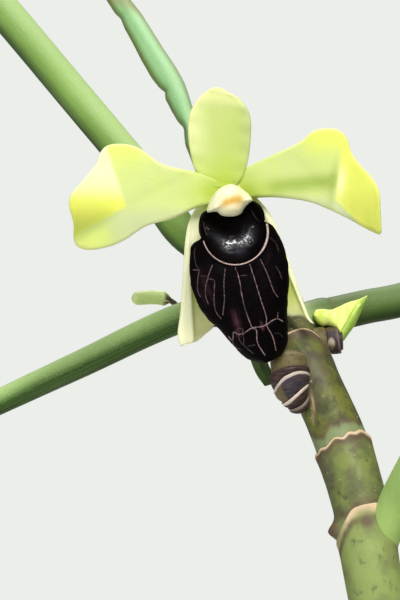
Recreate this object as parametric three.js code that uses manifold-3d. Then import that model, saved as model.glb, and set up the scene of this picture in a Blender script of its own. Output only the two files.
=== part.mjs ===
// A potted Luisia thailandica: a clump of leafy shoots with pencil-like leaves in a clay pot.
// One shoot leans out over the rim and carries a single open bloom, which faces -Y.
// Millimetres, +Z up. The origin is the middle of the pot's flat foot.

import * as THREE from 'three';
import { LoftGeometry } from 'three/addons/geometries/LoftGeometry.js';
import { mergeVertices } from 'three/addons/utils/BufferGeometryUtils.js';
import Module from 'manifold-3d';

const wasm = await Module();
wasm.setup();

// Driving sizes
const clearance = 0.3;
const potSize = {
  height: 95,
  footRadius: 37,
  bandRadius: 55,
  bandHeight: 18,
  bandStep: 3,
  wall: 5,
  floor: 7,
  edge: 1.2,
};
const drain = { count: 4, radius: 4.5, ring: 21 };
const mixSize = { bottom: 7.3, level: 82, top: 93, layer: 20 };
const chipSize = { count: 46, length: 15, width: 10, height: 5, tilt: 0.35, seed: 300 };
const goldenAngle = 2.39996;
const stemSize = {
  foot: 66,
  straightTo: 94,
  radius: 2.85,
  taper: 12,
  rimStep: 0.35,
  rimLip: 0.3,
  sides: 8,
};
const leafSize = { radius: 1.8, sides: 6, bends: 6, rings: 6 };
const bladeThickness = 0.7;
const bloomCentre = new THREE.Vector3(-62, -34, 215);
const seatGrowth = 1.5 * clearance;
const roundSides = 40;
const holeSides = 10;

// The finish of each kind of piece
const looks = {
  clay: { color: 0xb5694a, roughness: 0.85, metalness: 0 },
  bark: { color: 0x5a3d28, roughness: 0.95, metalness: 0 },
  shoot: { color: 0x6f9a3f, roughness: 0.45, metalness: 0 },
  petal: { color: 0xe0ec8c, roughness: 0.5, metalness: 0 },
  lip: { color: 0x1c060c, roughness: 0.3, metalness: 0 },
  cap: { color: 0xf6eecb, roughness: 0.45, metalness: 0 },
  bract: { color: 0x54404a, roughness: 0.6, metalness: 0 },
  bud: { color: 0xc6ee55, roughness: 0.4, metalness: 0 },
  root: { color: 0xb9bfa2, roughness: 0.8, metalness: 0 },
};

const vector = ([x, y, z]) => new THREE.Vector3(x, y, z);
const lerp = THREE.MathUtils.lerp;
const radians = THREE.MathUtils.degToRad;

// A number from 0 to 1 that depends on n alone, for a steady scatter.
function scatter(n) {
  const wide = Math.sin(n * 12.9898) * 43758.5453;
  return wide - Math.floor(wide);
}

// Turns a closed geometry into a solid: shared corners are merged, faces made to point out.
function solidOf(geometry) {
  const bare = new THREE.BufferGeometry();
  bare.setAttribute('position', geometry.attributes.position);
  bare.setIndex(geometry.index);
  const merged = mergeVertices(bare, 1e-4);
  const position = merged.attributes.position;
  const corners = [0, 1, 2].map(() => new THREE.Vector3());
  const faces = [];
  let volume = 0;
  for (let i = 0; i < merged.index.count; i += 3) {
    const face = [0, 1, 2].map((k) => merged.index.getX(i + k));
    if (new Set(face).size < 3) continue;
    face.forEach((index, k) => corners[k].fromBufferAttribute(position, index));
    volume += corners[0].dot(corners[1].clone().cross(corners[2]));
    faces.push(face);
  }
  const outward = volume < 0 ? faces.map((face) => face.slice().reverse()) : faces;
  return new wasm.Manifold(new wasm.Mesh({
    numProp: 3,
    vertProperties: new Float32Array(position.array),
    triVerts: new Uint32Array(outward.flat()),
  }));
}

function geometryOf(solid) {
  const { vertProperties, triVerts } = solid.getMesh();
  const geometry = new THREE.BufferGeometry();
  geometry.setAttribute('position', new THREE.BufferAttribute(new Float32Array(vertProperties), 3));
  geometry.setIndex(new THREE.BufferAttribute(new Uint32Array(triVerts), 1));
  geometry.computeVertexNormals();
  return geometry;
}

const join = (solids) => solids.reduce((whole, piece) => whole.add(piece));

// Keeps the main body of a cut solid and drops loose scraps.
function mainBody(solid) {
  return solid.decompose().reduce((best, piece) => (piece.volume() > best.volume() ? piece : best));
}

// A solid of revolution about Z from a profile of [radius, height] points.
function turned(profile) {
  const points = profile.map(([radius, height]) => new THREE.Vector2(radius, height));
  return solidOf(new THREE.LatheGeometry(points, roundSides).rotateX(Math.PI / 2));
}

// A round tube along a route. Each ring is [distance along the route, radius].
function tube(route, rings, sides) {
  const curve = new THREE.CatmullRomCurve3(route.map(vector));
  const length = curve.getLength();
  const side = new THREE.Vector3(0.31, -0.9, 0.29);
  const sections = rings.map(([distance, radius]) => {
    const share = THREE.MathUtils.clamp(distance / length, 0, 1);
    const centre = curve.getPointAt(share);
    const along = curve.getTangentAt(share);
    side.addScaledVector(along, -side.dot(along)).normalize();
    const across = along.clone().cross(side);
    return Array.from({ length: sides }, (_, i) => {
      const angle = (2 * Math.PI * i) / sides;
      return centre.clone()
        .addScaledVector(side, radius * Math.cos(angle))
        .addScaledVector(across, radius * Math.sin(angle));
    });
  });
  return solidOf(new LoftGeometry(sections, { capStart: true, capEnd: true }));
}

const routeLength = (route) => new THREE.CatmullRomCurve3(route.map(vector)).getLength();

// The rings of a blunt, round-tipped rod that tapers from one radius to another.
function rodRings(length, rootRadius, tipRadius, count) {
  const body = length - tipRadius;
  const rings = Array.from({ length: count + 1 }, (_, i) => {
    const share = i / count;
    return [share * body, lerp(rootRadius, tipRadius, share)];
  });
  return [...rings, [length - 0.3 * tipRadius, 0.7 * tipRadius], [length, 0.25 * tipRadius]];
}

// A pencil-like leaf or a root along its route.
function rod(route, rootRadius, tipRadius, count = leafSize.rings, sides = leafSize.sides) {
  return tube(route, rodRings(routeLength(route), rootRadius, tipRadius, count), sides);
}

// The distance along a rising route at which it reaches a height.
function distanceAtHeight(route, height) {
  const curve = new THREE.CatmullRomCurve3(route.map(vector));
  let [low, high] = [0, 1];
  for (let i = 0; i < 30; i += 1) {
    const middle = (low + high) / 2;
    if (curve.getPointAt(middle).z < height) low = middle;
    else high = middle;
  }
  return low * curve.getLength();
}

function pointAtHeight(route, height) {
  const curve = new THREE.CatmullRomCurve3(route.map(vector));
  return curve.getPointAt(distanceAtHeight(route, height) / curve.getLength());
}

// A stem in leaf sheaths: each sheath widens up to its rim and steps back to the next one.
function sheathedStem(route, rimHeights, radius, tipRadius) {
  const length = routeLength(route);
  const radiusAt = (distance) => lerp(radius, tipRadius, (distance / length) ** stemSize.taper);
  const rings = [[0, radius * 0.9]];
  rimHeights.forEach((height) => {
    const distance = distanceAtHeight(route, height);
    rings.push([distance, radiusAt(distance) + stemSize.rimStep]);
    rings.push([distance + stemSize.rimLip, radiusAt(distance)]);
  });
  rings.push([length - tipRadius * 0.5, tipRadius * 0.85], [length, tipRadius * 0.4]);
  return tube(route, rings, stemSize.sides);
}

// A closed sheet over the picture plane. point(u, v) gives [x, z, front, back], where the last
// two are how far each face stands toward the viewer. Both faces carry the same triangles.
function sheet(rows, columns, point) {
  const front = [];
  const back = [];
  for (let i = 0; i <= rows; i += 1) {
    for (let j = 0; j <= columns; j += 1) {
      const [x, z, near, far] = point(i / rows, j / columns);
      front.push(bloomCentre.x + x, bloomCentre.y - near, bloomCentre.z + z);
      back.push(bloomCentre.x + x, bloomCentre.y - far, bloomCentre.z + z);
    }
  }
  const at = (i, j) => i * (columns + 1) + j;
  const shift = (rows + 1) * (columns + 1);
  const index = [];
  for (let i = 0; i < rows; i += 1) {
    for (let j = 0; j < columns; j += 1) {
      const [a, b, c, d] = [at(i, j), at(i, j + 1), at(i + 1, j + 1), at(i + 1, j)];
      index.push(a, b, c, a, c, d, a + shift, c + shift, b + shift, a + shift, d + shift, c + shift);
    }
  }
  const rim = [];
  for (let j = 0; j < columns; j += 1) rim.push(at(0, j));
  for (let i = 0; i < rows; i += 1) rim.push(at(i, columns));
  for (let j = columns; j > 0; j -= 1) rim.push(at(rows, j));
  for (let i = rows; i > 0; i -= 1) rim.push(at(i, 0));
  rim.forEach((a, k) => {
    const b = rim[(k + 1) % rim.length];
    index.push(b, a, a + shift, b, a + shift, b + shift);
  });
  const geometry = new THREE.BufferGeometry();
  geometry.setAttribute('position', new THREE.Float32BufferAttribute([...front, ...back], 3));
  geometry.setIndex(index);
  return solidOf(geometry);
}

// A petal or sepal between a left and a right edge, both running from its root to its tip.
// relief(x, z) is how far its middle stands toward the viewer.
function blade(leftEdge, rightEdge, relief, rows, columns) {
  const spaced = (edge) => {
    const curve = new THREE.SplineCurve(edge.map(([x, z]) => new THREE.Vector2(x, z)));
    return curve.getSpacedPoints(rows);
  };
  const left = spaced(leftEdge);
  const right = spaced(rightEdge);
  const reach = 0.05;
  return sheet(rows, columns, (u, v) => {
    const row = Math.round(u * rows);
    const x = lerp(left[row].x, right[row].x, v);
    const z = lerp(left[row].y, right[row].y, v);
    const middle = relief(x, z);
    const slope = Math.hypot(relief(x + reach, z) - middle, relief(x, z + reach) - middle) / reach;
    const half = (bladeThickness / 2) * Math.min(1.6, Math.hypot(1, slope));
    return [x, z, middle + half, middle - half];
  });
}

// A closed, puffed body over an outline that runs clockwise for the viewer. Each station is
// [share of the outline, depth toward the viewer].
function puffed(outline, stations, sides) {
  const loop = new THREE.CatmullRomCurve3(outline.map(([x, z]) => new THREE.Vector3(x, 0, z)), true);
  const edge = loop.getSpacedPoints(sides).slice(0, sides).reverse();
  const middle = edge.reduce((sum, point) => sum.add(point), new THREE.Vector3()).divideScalar(sides);
  const sections = stations.map(([share, depth]) => edge.map((point) => {
    const placed = middle.clone().lerp(point, share).add(bloomCentre);
    placed.y -= depth;
    return placed;
  }));
  return solidOf(new LoftGeometry(sections, { capStart: true, capEnd: true }));
}

// A smooth bend: nothing before it, a steady slope after it.
const bendSoftness = 0.8;
const bend = (distance, slope) => slope * bendSoftness * Math.log1p(Math.exp(distance / bendSoftness));

const part = new THREE.Group();

function place(name, solid, look) {
  const mesh = new THREE.Mesh(geometryOf(solid), new THREE.MeshStandardMaterial(look));
  mesh.name = name;
  part.add(mesh);
}

// Pot: a plain clay pot with a banded rim and drain holes round a flat middle.
const bandFoot = potSize.height - potSize.bandHeight;
const innerFoot = potSize.footRadius - potSize.wall;
const innerMouth = potSize.bandRadius - potSize.bandStep - potSize.wall;
const innerDepth = potSize.height - potSize.floor;
const innerRadius = (z) => lerp(innerFoot, innerMouth, (z - potSize.floor) / innerDepth);

function makePot() {
  const { height, footRadius, bandRadius, bandStep, floor, edge } = potSize;
  const body = turned([
    [0, 0],
    [footRadius - edge, 0],
    [footRadius, edge],
    [bandRadius - bandStep - edge, bandFoot],
    [bandRadius - edge, bandFoot],
    [bandRadius - edge / 3, bandFoot + edge],
    [bandRadius, height - edge],
    [bandRadius - edge, height],
    [innerRadius(height) + edge, height],
    [innerRadius(height - edge), height - edge],
    [innerRadius(floor), floor],
    [0, floor],
  ]);
  const holes = Array.from({ length: drain.count }, (_, i) => {
    const angle = (2 * Math.PI * (i + 0.5)) / drain.count;
    const hole = new THREE.CylinderGeometry(drain.radius, drain.radius, 4 * floor, 12).rotateX(Math.PI / 2);
    return solidOf(hole.translate(drain.ring * Math.cos(angle), drain.ring * Math.sin(angle), 0));
  });
  return holes.reduce((pot, hole) => pot.subtract(hole), body);
}

// Stems and roots stand in plain holes in the potting mix: [x, y, radius].
const plantingHoles = [];

const buried = (x, y, radius) => {
  plantingHoles.push([x, y, radius + stemSize.rimStep + clearance]);
  const heights = [stemSize.foot, (stemSize.foot + stemSize.straightTo) / 2, stemSize.straightTo];
  return heights.map((z) => [x, y, z]);
};

// One bark chip: a box whose corners are each pushed in or out, tilted and turned.
function makeChip(i) {
  const { length, width, height, tilt, seed } = chipSize;
  const chip = new THREE.BoxGeometry(length, width, height);
  const corner = chip.attributes.position;
  for (let k = 0; k < corner.count; k += 1) {
    const [x, y, z] = [corner.getX(k), corner.getY(k), corner.getZ(k)];
    const key = i * 8 + (x > 0 ? 1 : 0) + (y > 0 ? 2 : 0) + (z > 0 ? 4 : 0);
    const alongX = 0.7 + 0.5 * scatter(key + 21.1);
    const alongY = 0.6 + 0.6 * scatter(key + 0.2);
    const alongZ = 0.8 + 0.4 * scatter(key + 0.3);
    corner.setXYZ(k, x * alongX, y * alongY, z * alongZ);
  }
  chip.rotateX((2 * scatter(i + seed + 0.4) - 1) * tilt);
  chip.rotateY((2 * scatter(i + seed + 0.5) - 1) * tilt);
  return chip.rotateZ(scatter(i + seed + 0.6) * Math.PI);
}

// Potting mix: a core that fills the pot, under coarse bark chips set on a sunflower spiral.
function makeMix() {
  const filling = (bottom, top, gap) => turned([
    [0, bottom],
    [innerRadius(bottom) - gap, bottom],
    [innerRadius(top) - gap, top],
    [0, top],
  ]);
  const chips = Array.from({ length: chipSize.count }, (_, i) => {
    const reach = (innerRadius(mixSize.level) - clearance - 2) * Math.sqrt((i + 0.5) / chipSize.count);
    const angle = i * goldenAngle;
    const lift = 2 * scatter(i + chipSize.seed + 0.7) - clearance;
    const [x, y] = [reach * Math.cos(angle), reach * Math.sin(angle)];
    return solidOf(makeChip(i).translate(x, y, mixSize.level + lift));
  });
  const chipLayer = join(chips).intersect(filling(mixSize.level - mixSize.layer, mixSize.top, clearance));
  const heap = filling(mixSize.bottom, mixSize.level, 3 * clearance).add(chipLayer);
  const holes = plantingHoles.map(([x, y, radius]) => {
    const depth = mixSize.top + 10 - (stemSize.foot - clearance);
    const corner = radius / Math.cos(Math.PI / holeSides);
    const hole = new THREE.CylinderGeometry(corner, corner, depth, holeSides).rotateX(Math.PI / 2);
    return solidOf(hole.translate(x, y, stemSize.foot - clearance + depth / 2));
  });
  return mainBody(holes.reduce((mix, hole) => mix.subtract(hole), heap));
}

// Flower spikes: short chains of overlapping cup-shaped bracts.
// Each cup is [distance of its rim, rim radius].
const leftSpike = {
  route: [[-54.8, -32.6, 193], [-55.5, -33.3, 194.6], [-55.9, -33.5, 196], [-56.1, -33.4, 197.4],
    [-56.2, -33, 198.9]],
  cups: [[1.0, 1.2], [2.2, 1.6], [3.6, 1.85], [4.8, 1.85], [5.9, 1.5]],
  rootRadius: 0.8,
};
const rightSpike = {
  route: [[-53.8, -29.6, 199.0], [-52.4, -29.6, 199.6], [-51.3, -29.5, 200.2]],
  cups: [[1.3, 1.6], [2.2, 1.6], [2.7, 1.1]],
  rootRadius: 1.3,
};

function makeSpike({ route, cups, rootRadius }, growth = 0) {
  const step = 0.28;
  const rings = [[clearance - growth, rootRadius + growth]];
  cups.forEach(([distance, radius]) => {
    rings.push([distance, radius + growth], [distance + 0.12, radius - step + growth]);
  });
  return tube(route, rings, 10);
}

// The flowering shoot leans out to the left and forward; its route and its leaves follow the bloom's side.
const floweringStem = [
  ...buried(-27, -22, stemSize.radius),
  [-30, -25.5, 108],
  [-35, -31, 130],
  [-41.5, -36, 155],
  [-47.3, -37.9, 174.4],
  [-48.7, -36, 182.1],
  [-50.9, -32.5, 189.9],
  [-53.9, -30, 196.7],
  [-55.8, -28, 200.9],
  [-57.6, -25, 205.4],
];
const floweringRims = [96, 107, 118, 129, 140, 151, 161, 171, 182.5, 189.4, 200.2, 203];
// Each leaf: root radius, tip radius, then its route from inside the stem to its blunt tip.
const floweringLeaves = {
  upperLeft: [1.8, 1.75, [[-57.6, -25, 205.4], [-61.9, -26, 207.9], [-66.5, -27, 210.7],
    [-70.1, -27.7, 215.4], [-77.7, -29, 224.6], [-88.1, -32.5, 237.4], [-118, -38, 268]]],
  youngest: [1.35, 0.95, [[-57.6, -25, 205.4], [-60.2, -23, 210.6], [-62.7, -22, 214.2],
    [-64.4, -21, 217.4], [-66, -20.2, 221.9], [-67.4, -19.6, 225.4], [-72, -18.4, 233.4],
    [-76.6, -17, 240.9], [-81.5, -16, 248]]],
  lowerLeft: [1.72, 0.8, [[-56.6, -26.5, 203.2], [-60.9, -24, 203.7], [-67.1, -22, 202.1],
    [-77.5, -19.5, 197.3], [-86.1, -17, 193.3], [-131, -15, 172]]],
  right: [1.8, 1.65, [[-56.2, -27.5, 200.4], [-54, -26.3, 201.9], [-51, -25.2, 202.6],
    [-47.6, -23.5, 203.2], [-44.2, -22, 204], [-30, -19, 208.5], [-8, -16, 217], [14, -12, 229]]],
  nearRight: [1.8, 1.6, [[-48.4, -36, 180.9], [-45.2, -40, 184.6], [-42.4, -45, 190],
    [-36, -52, 207], [-28, -62, 224], [-17, -75, 243]]],
  lowLeft: [1.8, 1.5, [[-45, -37.5, 166.5], [-52, -41, 169], [-70, -46, 169], [-90, -50, 166],
    [-118, -56, 156]]],
  lowRight: [1.8, 1.5, [[-42.4, -36.6, 158], [-37, -38.5, 164], [-24, -42, 173], [5, -50, 188],
    [30, -58, 205]]],
  lowestLeft: [1.8, 1.5, [[-39, -34, 146], [-44, -37, 150.5], [-60, -42, 152], [-90, -50, 146],
    [-112, -56, 132]]],
  lowestRight: [1.8, 1.5, [[-36.2, -32, 134.5], [-31, -33.5, 140], [-14, -38, 147], [12, -46, 151],
    [36, -54, 149]]],
};
const stemTip = 1.9;

function makeFloweringShoot() {
  const stem = sheathedStem(floweringStem, floweringRims, stemSize.radius, stemTip);
  const leaves = Object.values(floweringLeaves)
    .map(([root, tip, route]) => rod(route, root, tip, route.length + 1, stemSize.sides));
  const seats = [makeSpike(leftSpike, seatGrowth), makeSpike(rightSpike, seatGrowth)];
  return mainBody(seats.reduce((shoot, seat) => shoot.subtract(seat), join([stem, ...leaves])));
}

// The rest of the clump by rule: foot, tip and height of the stem, the turn of its two ranks of
// leaves in degrees, the first leaf's height, and the leaf spans from the oldest to the youngest.
const shootRules = {
  shoot_2: { foot: [8, 20], tip: [16, 36, 226], turn: 98, firstLeaf: 128, spans: [98, 62], radius: 2.6 },
  shoot_3: { foot: [30, -14], tip: [50, -24, 172], turn: 48, firstLeaf: 116, spans: [92, 58], radius: 2.5 },
  shoot_4: { foot: [27, 16], tip: [46, 26, 214], turn: 62, firstLeaf: 132, spans: [96, 60], radius: 2.6 },
  shoot_5: { foot: [-16, 26], tip: [-26, 42, 158], turn: 78, firstLeaf: 112, spans: [72, 50], radius: 2.4 },
  shoot_6: { foot: [2, -6], tip: [6, -14, 132], turn: 12, firstLeaf: 106, spans: [58, 44], radius: 2.2 },
};
const internode = 11;
const rootPitch = 74;

function ruledStemRoute({ foot, tip, radius }) {
  const [x, y] = foot;
  const lean = [0.3, 0.65, 1].map((share) => [
    lerp(x, tip[0], share ** 1.3),
    lerp(y, tip[1], share ** 1.3),
    lerp(stemSize.straightTo, tip[2], share),
  ]);
  return [...buried(x, y, radius), ...lean];
}

// A leaf that starts steep in its sheath and bends out: equal steps whose pitch falls toward the tip.
function ruledLeafRoute(root, turn, span, tipPitch) {
  const point = root.clone();
  const route = [point.toArray()];
  for (let i = 0; i < leafSize.bends; i += 1) {
    const share = i / (leafSize.bends - 1);
    const pitch = radians(lerp(rootPitch, tipPitch, share * (2 - share)));
    const step = span / leafSize.bends;
    point.x += step * Math.cos(pitch) * Math.cos(turn);
    point.y += step * Math.cos(pitch) * Math.sin(turn);
    point.z += step * Math.sin(pitch);
    route.push(point.toArray());
  }
  return route;
}

function makeRuledShoot(rule, seed) {
  const route = ruledStemRoute(rule);
  const top = rule.tip[2];
  const rims = [];
  for (let height = stemSize.straightTo + 4; height < top - 3; height += internode) rims.push(height);
  const stem = sheathedStem(route, rims, rule.radius, rule.radius * 0.7);
  const leafy = rims.filter((height) => height >= rule.firstLeaf);
  const leaves = leafy.map((height, k) => {
    const age = 1 - k / (leafy.length - 1);
    const key = seed * 20 + k;
    const turn = radians(rule.turn + 180 * (k % 2) + 24 * (scatter(key) - 0.5));
    const span = lerp(rule.spans[1], rule.spans[0], age) * (0.92 + 0.16 * scatter(key + 0.5));
    const tipPitch = lerp(62, 16, age) + 10 * (scatter(key + 0.3) - 0.5);
    const root = pointAtHeight(route, height - 1.5);
    const rootRadius = leafSize.radius * lerp(0.8, 1, age);
    return rod(ruledLeafRoute(root, turn, span, tipPitch), rootRadius, leafSize.radius * 0.8);
  });
  return join([stem, ...leaves]);
}

// Roots: thick, pale, blunt. Each starts just clear of its stem; most end in the potting mix.
const rootRadius = 1.3;
const downInto = (x, y) => buried(x, y, rootRadius).reverse().slice(1);
const mixRoots = {
  root_2: [[-24.9, -22.8, 101], [-16, -26, 103], [-8, -32, 100], [-6, -34, 95], ...downInto(-6, -35)],
  root_3: [[11.4, 21.9, 104], [16, 25, 105], [19, 29.5, 101], [19, 31, 95], ...downInto(19, 31)],
  root_4: [[27.1, -14.3, 100], [19, -18, 102.5], [13, -24, 100], [12, -27, 95], ...downInto(12, -27.5)],
};
const freeRoots = {
  root_1: [0.85, [[-56.4, -23.4, 203], [-60.8, -18, 201.7], [-64.5, -16, 201.5], [-66.5, -16, 202.1],
    [-68, -16, 203.4], [-69.4, -16.5, 203.9], [-72.2, -17, 204]]],
  root_5: [rootRadius, [[-31, -27, 101], [-37, -32, 103.5], [-43.5, -38.5, 102], [-46.5, -42, 96],
    [-46, -41.3, 84], [-43.5, -39.5, 66], [-41.5, -38, 48]]],
  root_6: [rootRadius, [[35.3, -15.2, 104], [42, -19, 107], [51.5, -23, 103], [55, -24.5, 94],
    [54, -24, 80], [51.3, -23, 62]]],
};

const makeRoot = (route, radius) => rod(route, radius, radius * 0.9, 2 * route.length, 6);

// Bloom: outlines are [x, z] from the bloom's centre, as the viewer sees it.
const dorsalSepal = {
  left: [[-2, 0.3], [-3.5, 1.8], [-4, 3.6], [-4.15, 5.7], [-4.05, 7.5], [-3.4, 8.8], [-2.4, 9.8],
    [-1.7, 10.1]],
  right: [[0.7, 0.3], [1.5, 1.8], [1.9, 3.5], [2.05, 5], [2.1, 6.5], [1.9, 7.7], [1, 9], [-0.4, 9.9],
    [-1.1, 10.1]],
};
const leftPetal = {
  left: [[-0.8, 0.9], [-3.5, 1.8], [-5.5, 2.2], [-7, 2.7], [-9, 4.1], [-10.4, 4.55], [-12.2, 4.45],
    [-12.9, 3.8], [-13.3, 2.7], [-14, 1.7], [-15, 0.5], [-15.8, -0.5], [-16, -1.3]],
  right: [[-0.8, -1.3], [-3.3, -1.8], [-5.5, -2.8], [-8.5, -3.7], [-10.5, -5], [-12, -5.65], [-14.2, -6],
    [-15.2, -5.7], [-15.6, -5], [-15.6, -3.5], [-15.95, -1.9]],
};
const rightPetal = {
  left: [[0.2, -1.2], [2.8, -0.8], [5, -0.8], [8, -1.25], [9.5, -1.8], [12, -3], [13.3, -3.75],
    [14.2, -4.2], [14.9, -4.5]],
  right: [[0.2, 1.1], [1.8, 2.3], [4.5, 3.6], [7, 4.8], [8.4, 5.9], [10, 6.15], [11.1, 5.85], [11.7, 5.1],
    [12.1, 3.8], [12.7, 2.8], [14.3, 0.9], [14.8, -0.2], [15, -2.4], [15.15, -4.2]],
};
const leftLateral = {
  left: [[-2.4, -0.8], [-3.45, -1.8], [-4.2, -3.4], [-4.5, -5.1], [-4.7, -8.2], [-5, -12.3],
    [-5.25, -14.6], [-5, -15.7]],
  right: [[-0.6, -1.6], [-0.9, -4], [-1.1, -7], [-1.2, -10], [-1.4, -13], [-1.7, -13.8], [-2.4, -14.4],
    [-3.4, -15.2], [-4.6, -15.5]],
};
const rightLateral = {
  left: [[0.6, -1.6], [1.4, -4], [2.5, -7], [3.6, -9.5], [4.9, -12], [5.8, -12.6], [7.3, -12.7],
    [8.1, -13.3]],
  right: [[1.6, -0.4], [2.7, -0.8], [4.1, -2.5], [5, -4.6], [5.9, -6.9], [6.8, -9.5], [7.5, -11.5],
    [8.1, -12.9], [8.5, -13.4]],
};

// The outer third of each petal is folded: two creases meet below the crest, which runs to the tip.
const petalBulge = (x) => 0.8 * Math.sin(Math.PI * Math.min(1, Math.abs(x) / 12));
const creaseSide = ([fromX, fromZ], [toX, toZ], x, z) => {
  const length = Math.hypot(toX - fromX, toZ - fromZ);
  return ((toX - fromX) * (z - fromZ) - (toZ - fromZ) * (x - fromX)) / length;
};
const leftPetalFold = { top: [-12.3, 4.2], inner: [-10.3, -1.7], low: [-15.5, -4.6] };
const rightPetalFold = { top: [11.2, 5.9], inner: [10.8, -1.3], low: [13.3, -3.8] };
const leftPetalRelief = (x, z) => {
  const { top, inner, low } = leftPetalFold;
  const upper = bend(creaseSide(inner, top, x, z), 0.47);
  const lower = bend(-creaseSide(inner, low, x, z), 0.85);
  return petalBulge(x) + Math.min(upper, lower);
};
const rightPetalRelief = (x, z) => {
  const { top, inner, low } = rightPetalFold;
  const upper = bend(-creaseSide(inner, top, x, z), 0.55);
  const lower = bend(creaseSide(inner, low, x, z), 0.9);
  return petalBulge(x) + Math.min(upper, lower);
};
const dorsalRelief = (x, z) => 0.012 * z * z + 0.05 * (x + 1) ** 2 - 0.1;

// The lateral sepals fall back toward their tips and rise on both sides of a groove.
const lateralRelief = (fromGroove, z) => {
  const groove = 0.35 * Math.abs(fromGroove) * Math.min(1, -z / 10);
  return 0.06 * z - 0.9 + groove;
};
const leftLateralRelief = (x, z) => lateralRelief(x + 0.05 * z + 3.9, z);
const rightLateralRelief = (x, z) => lateralRelief(x + 0.62 * z + 0.9, z);

// The bloom's stalk. Each ring is [distance along it, radius].
const stalkRoute = [[-58, -31.6, 195.9], [-58.8, -30.8, 196.6], [-59.4, -30.2, 198.1], [-60, -29.6, 201],
  [-60.7, -29.6, 205], [-61.6, -30.2, 210.1], [-62.1, -32, 214.2]];
const stalkRings = [[0, 0.6], [6, 0.6], [13, 0.8], [routeLength(stalkRoute), 1]];

function makePerianth() {
  const heart = new THREE.SphereGeometry(1, 12, 8).scale(2.6, 1.3, 2.2)
    .translate(bloomCentre.x - 0.1, bloomCentre.y + 0.4, bloomCentre.z - 0.3);
  return join([
    solidOf(heart),
    blade(dorsalSepal.left, dorsalSepal.right, dorsalRelief, 8, 4),
    blade(leftPetal.left, leftPetal.right, leftPetalRelief, 12, 7),
    blade(rightPetal.left, rightPetal.right, rightPetalRelief, 12, 7),
    blade(leftLateral.left, leftLateral.right, leftLateralRelief, 9, 4),
    blade(rightLateral.left, rightLateral.right, rightLateralRelief, 9, 4),
    tube(stalkRoute, stalkRings, 8),
  ]);
}

// Lip: a frame of its own, with the distance s down its tilted axis and t across it.
const lipSize = { length: 15.1, tilt: radians(12.6), root: [0.3, -2.5] };
const lipBowl = { radius: 3.25, s: 1.75, t: -0.22 };
const lipLeftEdge = [[-1, 3.4], [1.6, 3.6], [2.1, 4.7], [3.3, 5.1], [4.9, 5.4], [6.4, 5.5], [8, 5.3],
  [9.5, 4.8], [10.7, 4.1], [12, 3.5], [13.4, 2.8], [14.6, 1.6], [15.1, 0.3]];
const lipRightEdge = [[-1, 3], [1.3, 3.1], [1.9, 3.5], [3, 3.9], [4.3, 4.3], [5.8, 4.35], [7.6, 4.15],
  [9.5, 3.4], [11.4, 3.1], [13.4, 2.7], [14.3, 2.1], [14.9, 1.1], [15.1, 0.3]];

// Straight lines between [position, value] pairs.
function along(table, position) {
  const next = Math.max(1, table.findIndex(([at]) => at >= position));
  const [[fromAt, from], [toAt, to]] = [table[next - 1], table[next]];
  return lerp(from, to, THREE.MathUtils.clamp((position - fromAt) / (toAt - fromAt), 0, 1));
}

function lipFront(s, t) {
  const fromBowl = Math.hypot(Math.max(0, s - lipBowl.s), t - lipBowl.t) / lipBowl.radius;
  const bowl = 3 - 1.5 * (1 - Math.min(1, fromBowl) ** 2);
  const half = t < 0 ? along(lipLeftEdge, s) : along(lipRightEdge, s);
  const crown = 2.6 + 1.5 * Math.sin(Math.PI * THREE.MathUtils.clamp((s - 1) / 15, 0, 1));
  const outer = crown - 1.6 * Math.min(1, Math.abs(t) / half) ** 2.4;
  return fromBowl < 1 ? bowl : lerp(3, outer, Math.min(1, (fromBowl - 1) / 0.35));
}

function makeLip() {
  const { length, tilt, root } = lipSize;
  const down = [Math.sin(tilt), -Math.cos(tilt)];
  const across = [Math.cos(tilt), Math.sin(tilt)];
  return sheet(14, 10, (u, v) => {
    const side = 2 * v - 1;
    const s = length * u + (1 - u) ** 6 * (0.35 - 1.35 * side * side);
    const t = side * (side < 0 ? along(lipLeftEdge, s) : along(lipRightEdge, s));
    const near = lipFront(s, t);
    const thickness = 0.75 + 0.5 * (1 - side * side) * Math.sin(Math.PI * u);
    const x = root[0] + s * down[0] + t * across[0];
    const z = root[1] + s * down[1] + t * across[1];
    return [x, z, near, near - thickness];
  });
}

// Column: a short blunt dome with its anther cap, just clear of the heart of the bloom.
const columnOutline = [[-2.3, -2.2], [-2.1, -1.4], [-1.6, -0.6], [-0.9, 0.15], [0, 0.5],
  [1.3, 0.05], [2.1, -1.1], [1.7, -1.6], [1.2, -2.3], [0.4, -2.65], [-0.5, -2.35], [-1.3, -2.15]];
const columnStations = [[0.9, 1.25], [1, 1.7], [0.95, 2.8], [0.8, 3.8], [0.55, 4.5], [0.25, 4.85]];

// The second bloom's tepal, still folded lengthwise, standing out of the right-hand spike.
const budOutline = [[8.5, -12.4], [9, -11.95], [10.3, -12], [11, -11.7], [12, -11.2], [13.2, -10.9],
  [14.05, -10.6], [13.5, -12], [12.8, -13.4], [12.1, -14.2], [11.7, -14.2], [11.1, -13.6], [10.1, -13.5],
  [9.3, -13.5], [8.7, -13.1]];
const budDepth = -4.4;
const budStations = [[0.5, -1.2], [0.85, -0.85], [1, 0], [0.85, 0.85], [0.5, 1.3], [0.2, 1.4]];

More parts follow.
